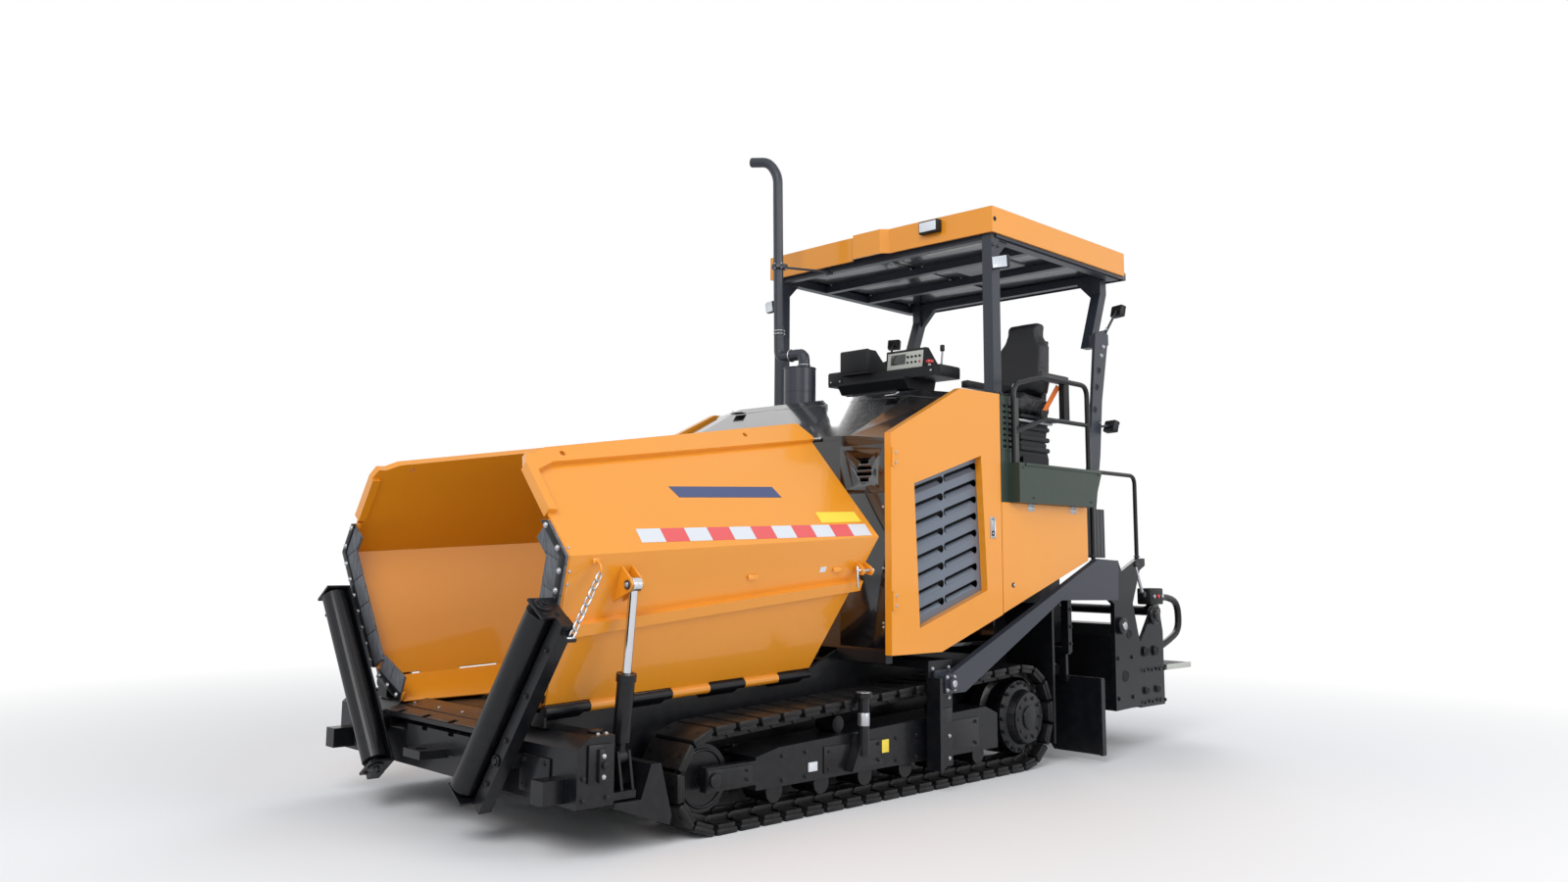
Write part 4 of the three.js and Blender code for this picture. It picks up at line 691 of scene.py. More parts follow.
UPPER_PANEL = plane_of(CREASE_FRONT, CREASE_REAR, RIM_FRONT)
LOWER_PANEL = plane_of(HINGE_FRONT, HINGE_REAR, CREASE_FRONT)


def on_panel(panel, y, z, off=0.0):
    """The point of a wing panel at this y and z, moved off its outer face."""
    origin, normal = panel
    outward = normal if normal.x > 0 else -normal
    x = origin.x - (normal.y * (y - origin.y) + normal.z * (z - origin.z)) / normal.x
    return Vector((x, y, z)) + outward * off


def outward_of(panel):
    return panel[1] if panel[1].x > 0 else -panel[1]


def front_edge(z):
    """The wing's front edge at this height."""
    if z <= CREASE_FRONT.z:
        return HINGE_FRONT.lerp(CREASE_FRONT, (z - HINGE_FRONT.z) / (CREASE_FRONT.z - HINGE_FRONT.z))
    return CREASE_FRONT.lerp(RIM_FRONT, (z - CREASE_FRONT.z) / (RIM_FRONT.z - CREASE_FRONT.z))


def mark(panel, outline, finish, thick=0.0008, off=0.0003):
    """A thin printed mark on a wing panel, cut to its (y, z) outline."""
    corners = [on_panel(panel, y, z, off) for y, z in outline]
    return dressed(sheet_metal(corners, outward_of(panel) * thick), finish)


def along(start, end, count):
    start, end = Vector(start), Vector(end)
    return [start.lerp(end, i / max(1, count - 1)) for i in range(count)]


class Trim(bpy.types.Operator):
    """Base of the operators that add a group of pieces"""

    bl_options = {"REGISTER", "UNDO"}

    def execute(self, context):
        self.build(context.scene.paver_sizes)
        return {"FINISHED"}


class PAVER_OT_cad_finishes(Trim):
    """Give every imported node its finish"""

    bl_idname = "paver.cad_finishes"
    bl_label = "Finishes of the packed nodes"

    def build(self, sizes):
        for name, piece in NODES.items():
            dressed(piece, cad_finish(name))


class PAVER_OT_wing_flaps(Trim):
    """Cut the rubber plates on the wings' front edges and bolt on their steel strips"""

    bl_idname = "paver.wing_flaps"
    bl_label = "Hopper flaps"

    def build(self, sizes):
        cuts = [0.601, 0.737, 0.868, 0.992, 1.112, 1.284]
        plates = Parts()
        for low, high in zip(cuts, cuts[1:]):
            plate = copy_to(NODES["wing_flap_left"], Matrix.Translation(-DATUM))
            plate.parent = None
            pick(plate)
            bpy.ops.object.mode_set(mode="EDIT")
            bpy.ops.mesh.select_all(action="SELECT")
            bpy.ops.mesh.remove_doubles(threshold=0.00001)
            for z, side in ((low, 1), (high, -1)):
                slope = (front_edge(z + 0.01) - front_edge(z - 0.01)) * side
                place = front_edge(z) + slope.normalized() * sizes.flap_gap / 2
                bpy.ops.mesh.select_all(action="SELECT")
                bpy.ops.mesh.bisect(plane_co=place, plane_no=slope, use_fill=True, clear_inner=True)
            bpy.ops.object.mode_set(mode="OBJECT")
            plates.add(soften(plate, 0.003), "Rubber flap")
        left, right = pair("flap_plates", "hopper_wing", "grey_rubber", *plates)
        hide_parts("wing_flap_left")
        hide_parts("wing_flap_right")
        strips = Parts()
        for low, high in ((0.604, 1.145), (1.145, 1.283)):
            corners = []
            for z, inset in ((low, 0.040), (low, 0.002), (high, 0.002), (high, 0.040)):
                corners.append(front_edge(z) + Vector((-inset, -FLAP_FRONT - 0.0004, 0)))
            strips.add(sheet_metal(corners, (0, -0.007, 0), 0.0015), "Chassis black")
        spots = [front_edge(0.635 + i * 0.0755) for i in range(7)] + [front_edge(1.175), front_edge(1.262)]
        spots = [spot + Vector((-0.021, -FLAP_FRONT - 0.0072, 0)) for spot in spots]
        strips.add(bolts(spots, (0, -1, 0), 0.0095, dome=True), "Zinc")
        nuts = [front_edge(z) + Vector((0.001, 0.006, 0)) for z in (1.035, 1.085, 1.175)]
        strips.add(bolts(nuts, (1, 0, -0.3), 0.005), "Zinc")
        pair("flap_strip", "hopper_wing", "black_paint", *strips)


class PAVER_OT_hopper_liner(Trim):
    """Add the sloped plates between the wings and the conveyors, with their front rubber and bolts"""

    bl_idname = "paver.hopper_liner"
    bl_label = "Hopper liner"

    def build(self, sizes):
        top_front, top_rear = Vector((0.655, -2.245, 0.560)), Vector((0.655, -0.725, 0.622))
        low_front, low_rear = Vector((0.440, -2.245, 0.470)), Vector((0.440, -0.725, 0.480))
        plate = sheet_metal([low_front, top_front, top_rear, low_rear], (0.002, 0, -0.006), 0.001)
        parts = Parts()
        parts.add(plate, "Body yellow")
        slope = top_front - low_front
        for start, end in ((0.02, 0.49), (0.51, 0.98)):
            corners = [low_front + slope * start, low_front + slope * end,
                       low_front + slope * end + Vector((-0.045, 0, 0.108)),
                       low_front + slope * start + Vector((-0.045, 0, 0.108))]
            parts.add(sheet_metal([c + Vector((0, -0.014, 0)) for c in corners], (0, -0.013, 0), 0.002),
                      "Rubber flap")
        strip = [low_front, top_front, top_front + Vector((-0.018, 0, 0.036)),
                 low_front + Vector((-0.018, 0, 0.036))]
        parts.add(sheet_metal([c + Vector((0, -0.0275, 0)) for c in strip], (0, -0.007, 0), 0.0015),
                  "Chassis black")
        parts.add(sheet_metal([c + Vector((0, 0.001, 0)) for c in strip], (0, -0.016, 0), 0.001), "Body yellow")
        spots = [low_front.lerp(top_front, share) + Vector((-0.009, -0.0345, 0.018))
                 for share in (0.10, 0.50, 0.90)]
        parts.add(bolts(spots, (0, -1, 0), 0.0095, dome=True), "Zinc")
        pair("hopper_liner", "chassis", "yellow_paint", *parts)


class PAVER_OT_wing_marks(Trim):
    """Put the blank plates and the reflecting tape on the outer side of the wings"""

    bl_idname = "paver.wing_marks"
    bl_label = "Wing marks"

    def build(self, sizes):
        navy = mark(UPPER_PANEL, [(-1.665, 1.447), (-1.035, 1.475), (-1.010, 1.425), (-1.635, 1.400)],
                    "Mark navy")
        yellow = mark(UPPER_PANEL, [(-0.842, 1.361), (-0.570, 1.372), (-0.560, 1.324), (-0.842, 1.311)],
                      "Mark yellow")
        parts = [navy, yellow]
        front, rear, count = -1.955, -0.545, 11
        for i in range(count):
            y0 = front + (rear - front) * i / count + 0.0006
            y1 = front + (rear - front) * (i + 1) / count - 0.0006
            low, high = (self.tape_height(y0), self.tape_height(y1))
            outline = [(y0, low), (y1, high), (y1, high + sizes.tape_height), (y0, low + sizes.tape_height)]
            parts.append(mark(UPPER_PANEL, outline, "Mark red" if i % 2 else "Mark white"))
        parts.append(mark(LOWER_PANEL, [(-0.86, 1.105), (-0.82, 1.107), (-0.82, 1.082), (-0.86, 1.080)],
                          "Mark white"))
        pair("wing_marks", "hopper_wing", "yellow_paint", *parts)

    @staticmethod
    def tape_height(y):
        return 1.201 + (y + 1.955) * 0.0405


class PAVER_OT_wing_fittings(Trim):
    """Add the wings' lock pin, chain hook, chain, cylinder pins and stop blocks"""

    bl_idname = "paver.wing_fittings"
    bl_label = "Wing fittings"

    def build(self, sizes):
        out = outward_of(LOWER_PANEL)
        up = Vector((0, 0, 1))
        parts = Parts()
        # lock clevis near the rear edge, with its T-handled pin
        for y in (-0.612, -0.548):
            foot = on_panel(LOWER_PANEL, y, 1.105, -0.002)
            corners = [foot - up * 0.030, foot + out * 0.052 - up * 0.020, foot + out * 0.066,
                       foot + out * 0.052 + up * 0.022, foot + up * 0.030]
            parts.add(sheet_metal(corners, (0, 0.010, 0), 0.0015), "Body yellow")
        eye = on_panel(LOWER_PANEL, -0.58, 1.105, 0.040)
        parts.add(bar(eye + Vector((0, -0.062, 0)), eye + Vector((0, 0.058, 0)), 0.0085), "Zinc")
        parts.add(bar(eye + Vector((0, -0.058, 0.02)), eye + Vector((0.004, -0.056, -0.085)), 0.006), "Zinc")
        parts.add(ring(eye + Vector((0, 0.052, 0)), (0, 1, 0), 0.012, 0.003), "Zinc")
        # hook for the chain that holds the push arm up
        top = on_panel(LOWER_PANEL, -2.196, 1.128, 0.0)
        hook = [top - out * 0.004, top + out * 0.020, top + out * 0.034 - up * 0.004,
                top + out * 0.038 - up * 0.024, top + out * 0.030 - up * 0.040, top + out * 0.018 - up * 0.030]
        parts.add(bent_bar(hook, 0.0055), "Body yellow")
        plate = [top + Vector((0, dy, dz)) for dy, dz in ((-0.018, -0.012), (0.018, -0.010), (0.018, 0.012),
                                                          (-0.018, 0.010))]
        parts.add(sheet_metal(plate, out * 0.006, 0.001), "Body yellow")
        # pin of the cylinder's head, with its washers and bolt
        head = Vector((0.950, -2.0265, 1.0365))
        pin = Vector((0, 0.99923, 0.03914))
        for side in (-1, 1):
            parts.add(bar(head + pin * side * 0.0325, head + pin * side * 0.0375, 0.019), "Slate")
            parts.add(bolts([head + pin * side * 0.0375], pin * side, 0.009), "Zinc")
        # stop blocks along the crease
        for y in (-1.30, -0.74):
            foot = on_panel(LOWER_PANEL, y, 1.02 + (y + 2.0) * 0.06, 0.0)
            corners = [foot + Vector((0, dy, dz)) for dy, dz in ((-0.03, -0.012), (0.03, -0.010), (0.03, 0.012),
                                                                 (-0.03, 0.010))]
            parts.add(sheet_metal(corners, out * 0.010, 0.002), "Body yellow")
        pair("wing_fittings", "hopper_wing", "yellow_paint", *parts)
        self.chain(sizes, top + out * 0.030 - up * 0.036, Vector((1.0007, -2.363, 0.842)))

    @staticmethod
    def chain(sizes, start, end):
        """Stretched rings, each a quarter turn from the last."""
        links = Parts()
        count = 8
        run = (end - start).normalized()
        pitch = (end - start).length / count
        wire = sizes.chain_wire / 2
        for i in range(count):
            link = ring((0, 0, 0), (0, 0, 1), pitch * 0.33, wire, sides=16)
            stretch(link, (1, 0, 0), pitch * 0.42)
            link.data.transform(Matrix.Translation((-pitch * 0.21, 0, 0)))
            quarter = Matrix.Rotation(math.pi / 2 * (i % 2), 4, "X")
            turn = run.to_track_quat("X", "Y").to_matrix().to_4x4() @ quarter
            link.data.transform(Matrix.Translation(start + run * pitch * (i + 0.5)) @ turn)
            links.add(link, "Zinc")
        shackle = bar(end - Vector((0, 0.018, 0)), end + Vector((0, 0.018, 0)), wire * 1.4)
        pair("hold_up_chain", "hopper_wing", "bare_steel", *links, dressed(shackle, "Zinc"))


class PAVER_OT_bumper_fittings(Trim):
    """Add the bumper's side latch, apron screws, tow hook lugs and the push arms' bolts"""

    bl_idname = "paver.bumper_fittings"
    bl_label = "Bumper fittings"

    def build(self, sizes):
        parts = Parts()
        parts.add(block((0.966, -2.245, 0.300), (0.976, -2.130, 0.440), 0.003), "Chassis black")
        parts.add(block((0.976, -2.205, 0.300), (0.992, -2.165, 0.425), 0.004), "Chassis black")
        parts.add(bar((0.992, -2.185, 0.365), (1.010, -2.185, 0.365), 0.014), "Chassis black")
        parts.add(bolts([(0.992, -2.185, 0.398), (0.992, -2.185, 0.322)], (1, 0, 0), 0.007), "Zinc")
        parts.add(bolts([(0.966, -2.262, 0.32), (0.966, -2.262, 0.24), (0.966, -2.15, 0.24)], (1, 0, 0), 0.010),
                  "Chassis black")
        parts.add(block((0.60, -2.300, 0.235), (0.80, -2.291, 0.375), 0.003), "Chassis black")
        parts.add(bolts([(0.63, -2.300, 0.255), (0.77, -2.300, 0.255), (0.63, -2.300, 0.355),
                         (0.77, -2.300, 0.355)], (0, -1, 0), 0.009), "Chassis black")
        parts.add(bar((0.885, -2.150, 0.470), (0.885, -2.150, 0.482), 0.030, edge=0.003), "Chassis black")
        parts.add(bolts([(0.93, -2.17, 0.470), (0.93, -2.13, 0.470)], (0, 0, 1), 0.007), "Zinc")
        pair("bumper_latch", "chassis", "black_paint", *parts)
        screws = [(x, -2.20, self.apron_height(-2.20) + 0.0013) for x in (-0.42, -0.20, 0.0, 0.20, 0.42)]
        apron = Parts()
        apron.add(bolts(screws, (0, 0, 1), 0.008), "Zinc")
        corners = [(x, y, self.apron_height(y)) for x, y in ((-0.46, -2.325), (0.46, -2.325), (0.46, -2.125),
                                                             (-0.46, -2.125))]
        plate = sheet_metal(corners, (0, 0, 0.005), 0.001)
        for x in (-0.33, -0.11, 0.11, 0.33):
            plate = hole_through(plate, block((x - 0.021, -2.40, 0.40), (x + 0.021, -2.289, 0.50), 0))
        apron.add(plate, "Apron brown")
        finished("apron_cover", "chassis", "black_paint", *apron)
        self.arm_fittings()

    @staticmethod
    def apron_height(y):
        return 0.4332 + (y + 2.33) * 0.173

    @staticmethod
    def arm_fittings():
        low, high = Vector((0.364, -2.410, 0.209)), Vector((0.881, -2.410, 0.955))
        run = (high - low).normalized()
        side = Vector((run.z, 0, -run.x))
        parts = Parts()
        for end, step in ((low, -1), (high, 1)):
            cap = end + run * step * 0.006
            parts.add(bar(cap, cap + run * step * 0.006, 0.036, edge=0.002), "Chassis black")
            parts.add(bolts([cap + run * step * 0.006], run * step, 0.013), "Chassis black")
            spots = [cap + side * 0.056 + Vector((0, dy, 0)) for dy in (-0.024, 0.034)]
            parts.add(bolts(spots, run * step, 0.008), "Chassis black")
        for share in (0.14, 0.38, 0.62, 0.86):
            spot = low.lerp(high, share) + side * 0.103 + Vector((0, 0.0145, 0))
            parts.add(bolts([spot], (0, -1, 0), 0.010), "Chassis black")
        nut = Vector((0.583, -2.405, 0.350))
        parts.add(ring(nut + Vector((0, 0.004, 0)), (0, 1, 0), 0.020, 0.004), "Chassis black")
        pair("push_arm_bolts", "roller_arm", "black_paint", *parts)
        rims = Parts()
        for end, step in ((low, 1), (high, -1)):
            rims.add(ring(end + run * step * 0.026, run, 0.0515, 0.003, 40), "Chassis black")
        pair("push_roller_rims", "push_roller", "black_paint", *rims)


class PAVER_OT_engine_bay_trim(Trim):
    """Add the cowl's seams, hood latches, muffler collar, exhaust clamps and mouth"""

    bl_idname = "paver.engine_bay_trim"
    bl_label = "Engine bay trim"

    def build(self, sizes):
        parts = Parts()
        for low, high in ((0.712, 1.470), (1.474, 1.712)):
            plate = [(0.640, -0.4303, low), (0.930, -0.4303, low), (0.930, -0.4303, high),
                     (0.640, -0.4303, high)]
            panel = sheet_metal(plate, (0, -0.003, 0), 0.001)
            if high > 1.6:
                for dz, half in ((-0.045, 0.028), (-0.015, 0.048), (0.015, 0.048), (0.045, 0.028)):
                    slot = block((0.800 - half, -0.45, 1.573 + dz), (0.800 + half, -0.42, 1.587 + dz), 0.004)
                    panel = hole_through(panel, slot)
            parts.add(panel, "Gloss black")
        parts.add(bolts([(0.918, -0.4333, z) for z in (0.815, 0.835, 1.10, 1.40)], (0, -1, 0), 0.005), "Zinc")
        pair("front_wall_panels", "chassis", "gloss_black_paint", *parts)
        collar = Parts()
        for z, radius, thick, finish in ((2.2995, 0.0975, 0.004, "Slate"),
                                         (1.985, 0.104, 0.008, "Chassis black"),
                                         (2.15, 0.0975, 0.0015, "Slate")):
            collar.add(ring((-0.300, 0.270, z), (0, 0, 1), radius, thick, 48), finish)
        wedge = [(-0.205, 0.262, 1.975), (-0.100, 0.262, 2.045), (-0.203, 0.262, 2.040)]
        collar.add(sheet_metal(wedge, (0, 0.016, 0), 0.001), "Chassis black")
        finished("muffler_collar", "chassis", "slate_grey_paint", *collar)
        clamps = Parts()
        for place, direction, radius in (
                ((-0.265, 0.270, 2.318), (0, 0, 1), 0.037), ((-0.372, 0.270, 2.390), (1, 0, 0), 0.037),
                ((-0.480, 0.270, 2.540), (0, 0, 1), 0.033), ((-0.480, 0.270, 2.560), (0, 0, 1), 0.033)):
            clamps.add(ring(place, direction, radius, 0.004, 36), "Zinc")
        flange = [(-0.480 + 0.042 * math.cos(a), 0.270 + 0.042 * math.sin(a), 2.987)
                  for a in (0.5, 1.55, 2.6, 3.64, 4.69, 5.74)]
        clamps.add(bolts(flange, (0, 0, 1), 0.006), "Zinc")
        clamps.add(bolts([(x, y, 2.963) for x, y, _ in flange], (0, 0, -1), 0.006), "Zinc")
        finished("exhaust_clamps", "chassis", "slate_grey_paint", *clamps)
        tip = Vector((-0.680, 0.210, 3.695))
        aim = Vector((-0.120, -0.040, 0.017)).normalized()
        mouth = Parts()
        mouth.add(ring(tip + aim * 0.0005, aim, 0.0283, 0.0022, 28), "Slate")
        # a near-black disc inside the pipe's end: painted shade of its bore
        mouth.add(bar(tip - aim * 0.004, tip + aim * 0.0012, 0.0285, 24, 0), "Dark recess")
        finished("exhaust_mouth", "chassis", "slate_grey_paint", *mouth)
        self.hood_latches()

    @staticmethod
    def hood_latches():
        x, z = 0.60, 2.0215
        parts = Parts()
        parts.add(block((x - 0.045, 0.008, z), (x + 0.045, 0.056, z + 0.006), 0.002), "Chassis black")
        parts.add(block((x - 0.030, 0.016, z + 0.005), (x + 0.030, 0.040, z + 0.012), 0.002), "Zinc")
        parts.add(bar((x + 0.032, 0.028, z + 0.010), (x + 0.052, 0.036, z + 0.024), 0.004), "Zinc")
        left = finished("hood_latch_left", "hood_lid", "gloss_black_paint", *parts)
        on_other_side(left, "hood_latch_right", "hood_lid")
        rails = Parts()
        for x in (-0.45, 0.45):
            rails.add(block((x - 0.06, -0.442, 1.748), (x + 0.06, -0.4302, 1.762), 0.003), "Chassis black")
            rails.add(bar((x - 0.06, -0.438, 1.764), (x + 0.06, -0.438, 1.764), 0.006), "Zinc")
        finished("hood_hinges", "chassis", "gloss_black_paint", *rails)


class PAVER_OT_louvres(Trim):
    """Press the slanted slots into the plates behind the doors' openings"""

    bl_idname = "paver.louvres"
    bl_label = "Door louvres"

    def build(self, sizes):
        face = HULL_OUT - 0.0405  # the plate's outer face, behind the door
        columns, rows, step, lowest = ((-0.226, 0.020), (0.062, 0.318)), 9, 0.089, 0.862
        radius, inward, drop = 0.020, Vector((-0.020, 0, 0)), Vector((0, 0, -0.023))
        outline = [(-0.285, 1.555), (-0.235, 0.780), (0.395, 0.965), (0.352, 1.725)]
        plate = sheet_metal([(face, y, z) for y, z in outline], (-0.004, 0, 0))
        rise = 0.290  # slope of a slot
        slots, lips = [], []
        for row in range(rows):
            for low, high in columns:
                z = lowest + row * step
                start = Vector((face, low, z + (low + 0.226) * rise))
                end = Vector((face, high, z + (high + 0.226) * rise))
                if self.on_plate(start, outline) and self.on_plate(end, outline):
                    slots.append(self.slot(start, end, radius, 0.030))
                    run = (end - start).normalized() * 0.012
                    lip = [start + drop, end + drop, end + drop * 0.1 + inward - run,
                           start + drop * 0.1 + inward + run]
                    lips.append(sheet_metal(lip, (0.0015, 0, 0.0015)))
        plate = hole_through(plate, joined(slots))
        # a near-black sheet behind the slots, where there is only shade: painted shade
        painted_shade_sheet = sheet_metal([(face - 0.050, y * 0.98, z) for y, z in outline], (-0.002, 0, 0))
        left, right = pair("door_louvre_plate", "side_door", "slate_grey_paint", dressed(plate, "Louvre grey"),
                           *all_dressed(lips, "Louvre grey"), dressed(painted_shade_sheet, "Dark recess"))
        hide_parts("door_louvre_left")
        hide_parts("door_louvre_right")

    @staticmethod
    def on_plate(place, outline):
        """Whether a slot's end keeps its distance from the plate's lower and upper edge."""
        low = outline[1][1] + 0.045 + (place.y + 0.235) * 0.29
        high = outline[0][1] - 0.045 + (place.y + 0.285) * 0.27
        return low < place.z < high

    @staticmethod
    def slot(start, end, radius, depth):
        """A cutter with round ends for a slot from start to end."""
        run = (end - start).normalized()
        up = Vector((1, 0, 0)).cross(run)
        outline = []
        for centre, side in ((end, 1), (start, -1)):
            for i in range(9):
                angle = math.pi * (i / 8 - 0.5)
                ahead = run * side * radius * math.cos(angle)
                outline.append(centre + ahead + up * side * radius * math.sin(angle))
        return sheet_metal([p + Vector((depth / 2, 0, 0)) for p in outline], (-depth, 0, 0))


class PAVER_OT_door_trim(Trim):
    """Add the side doors' latch and hinges, the lids' hinges and lock, and the side box's vent"""

    bl_idname = "paver.door_trim"
    bl_label = "Door and lid trim"

    def build(self, sizes):
        x = HULL_OUT
        frame_plate = block((x, 0.402, 1.262), (x + 0.004, 0.452, 1.376), 0.0015)
        frame_plate = hole_through(frame_plate, block((x - 0.01, 0.412, 1.276), (x + 0.02, 0.442, 1.362),
                                                      0.002))
        paddle = block((x - 0.001, 0.4135, 1.300), (x + 0.0035, 0.4405, 1.3605), 0.002)
        parts = Parts()
        parts.add(frame_plate, "Zinc")
        parts.add(paddle, "Zinc")
        parts.add(bar((x + 0.0002, 0.427, 1.287), (x + 0.005, 0.427, 1.287), 0.006), "Zinc")
        # a near-black sheet in the latch's opening behind the paddle: painted shade
        parts.add(block((x + 0.0001, 0.412, 1.276), (x + 0.0008, 0.442, 1.362), 0), "Dark recess")
        parts.add(bolts([(x + 0.004, y, z) for y in (0.407, 0.447) for z in (1.268, 1.370)], (1, 0, 0), 0.0025),
                  "Zinc")
        for z in (0.900, 1.600):
            parts.add(bolts([(x, DOOR_FRONT + 0.035, z + dz) for dz in (0.02, 0.07)], (1, 0, 0), 0.006), "Zinc")
        pair("door_latch", "side_door", "yellow_paint", *parts)
        lid = Parts()
        for y in (0.807, 1.257):
            leaf = block((x, y - 0.032, 1.418), (x + 0.0025, y + 0.032, 1.4535), 0.001)
            lid.add(leaf, "Zinc")
            lid.add(bar((x + 0.004, y - 0.034, 1.456), (x + 0.004, y + 0.034, 1.456), 0.0045, 14), "Zinc")
            spots = [(x + 0.0025, y + dy, z) for dy in (-0.020, 0.020) for z in (1.427, 1.443)]
            lid.add(bolts(spots, (1, 0, 0), 0.0035), "Zinc")
        lid.add(bar((x, 0.615, 1.011), (x + 0.003, 0.615, 1.011), 0.014), "Chassis black")
        lid.add(bar((x + 0.003, 0.615, 1.011), (x + 0.010, 0.615, 1.011), 0.008), "Zinc")
        pair("lid_hinges", "locker_lid", "yellow_paint", *lid)
        box_x = x + 0.0003
        vent = Parts()
        vent.add(block((box_x, 0.528, 1.745), (box_x + 0.002, 0.638, 1.752), 0.0006), "Side box green")
        vent.add(block((box_x, 0.528, 2.004), (box_x + 0.002, 0.638, 2.011), 0.0006), "Side box green")
        edge = 1.0393
        vent.add(bolts([(edge, y, z) for y, z in ((0.64, 1.655), (1.45, 1.655), (0.74, 1.49), (1.36, 1.49))],
                       (1, 0, 0), 0.006), "Side box green")
        vent.add(block((edge, 0.66, 1.663), (edge + 0.006, 1.47, 1.680), 0.002), "Side box green")
        pair("side_box_trim", "chassis", "dark_green_paint", *vent)


# ---------------------------------------------------------------- undercarriage
class PAVER_OT_tracks(Trim):
    """Lay the shoes and chain links round each track"""

    bl_idname = "paver.tracks"
    bl_label = "Tracks"

    SHOES = 46
    IDLER = (-1.545, 0.222)  # centre line's y, and the radius to the shoe's face, which is its height too
    SPROCKET = (0.790, 0.288)

    def build(self, sizes):
        low, high = cad_box("track_left")
        half = (high.x - low.x) / 2
        centre = (high.x + low.x) / 2
        pitch = self.loop_length() / self.SHOES
        length = pitch * sizes.shoe_share
        shoe = [block((-half, -length / 2, -0.026), (half, length / 2, 0), 0.007),
                block((-half + 0.006, -length / 2 + 0.010, -0.044), (half - 0.006, length / 2 - 0.010, -0.024),
                      0.003)]
        for x in (-0.052, 0.052):
            shoe.append(block((x - 0.010, -pitch * 0.44, -0.073), (x + 0.010, pitch * 0.44, -0.043), 0.004))
            shoe.append(bar((x - 0.017, -pitch / 2, -0.058), (x + 0.017, -pitch / 2, -0.058), 0.013, 12, 0.002))
        for x in (-half + 0.030, half - 0.030):
            shoe.append(bar((x, 0, -0.003), (x, 0, 0.0), 0.012, 12, 0))
        first = joined(all_dressed(shoe, "Track steel"))
        first.data.materials.clear()
        places = [self.shoe_place((i + 0.5) * pitch, length, centre) for i in range(self.SHOES)]
        shoes = [copy_to(first, place) for place in places]
        bpy.data.objects.remove(first)
        left, right = pair("track_shoes", "chassis", "bare_steel", *all_dressed(shoes, "Track steel"))
        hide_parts("track_left")
        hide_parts("track_right")

    def angles(self):
        (front_y, front_r), (rear_y, rear_r) = self.IDLER, self.SPROCKET
        span = math.hypot(rear_y - front_y, rear_r - front_r)
        tilt = math.atan2(rear_r - front_r, rear_y - front_y)
        half = math.acos((front_r - rear_r) / span)
        return tilt, half, math.sqrt(span ** 2 - (front_r - rear_r) ** 2)

    def loop_length(self):
        _, half, run = self.angles()
        return 2 * run + 2 * half * self.SPROCKET[1] + 2 * (math.pi - half) * self.IDLER[1]

    def point(self, distance):
        """The loop's outer line at a distance along it, as (y, z)."""
        tilt, half, run = self.angles()
        distance %= self.loop_length()
        arc = 2 * half * self.SPROCKET[1]
        if distance < run:
            (y, r), angle, ahead = self.IDLER, tilt - half, distance
        elif distance < run + arc:
            (y, r), angle, ahead = self.SPROCKET, tilt - half + (distance - run) / self.SPROCKET[1], 0
        elif distance < 2 * run + arc:
            (y, r), angle, ahead = self.SPROCKET, tilt + half, distance - run - arc
        else:
            (y, r), angle, ahead = self.IDLER, tilt + half + (distance - 2 * run - arc) / self.IDLER[1], 0
        return (y + r * math.cos(angle) - ahead * math.sin(angle),
                r + r * math.sin(angle) + ahead * math.cos(angle))

    def shoe_place(self, distance, length, x):
        """The matrix that lays a shoe's face on the loop's outer line."""
        back, front = self.point(distance - length / 2), self.point(distance + length / 2)
        along_loop = Vector((0, front[0] - back[0], front[1] - back[1])).normalized()
        outward = Vector((0, along_loop.z, -along_loop.y))
        middle = Vector((x, (back[0] + front[0]) / 2, (back[1] + front[1]) / 2))
        turn = Matrix((along_loop.cross(outward), along_loop, outward)).transposed().to_4x4()
        return Matrix.Translation(middle) @ turn


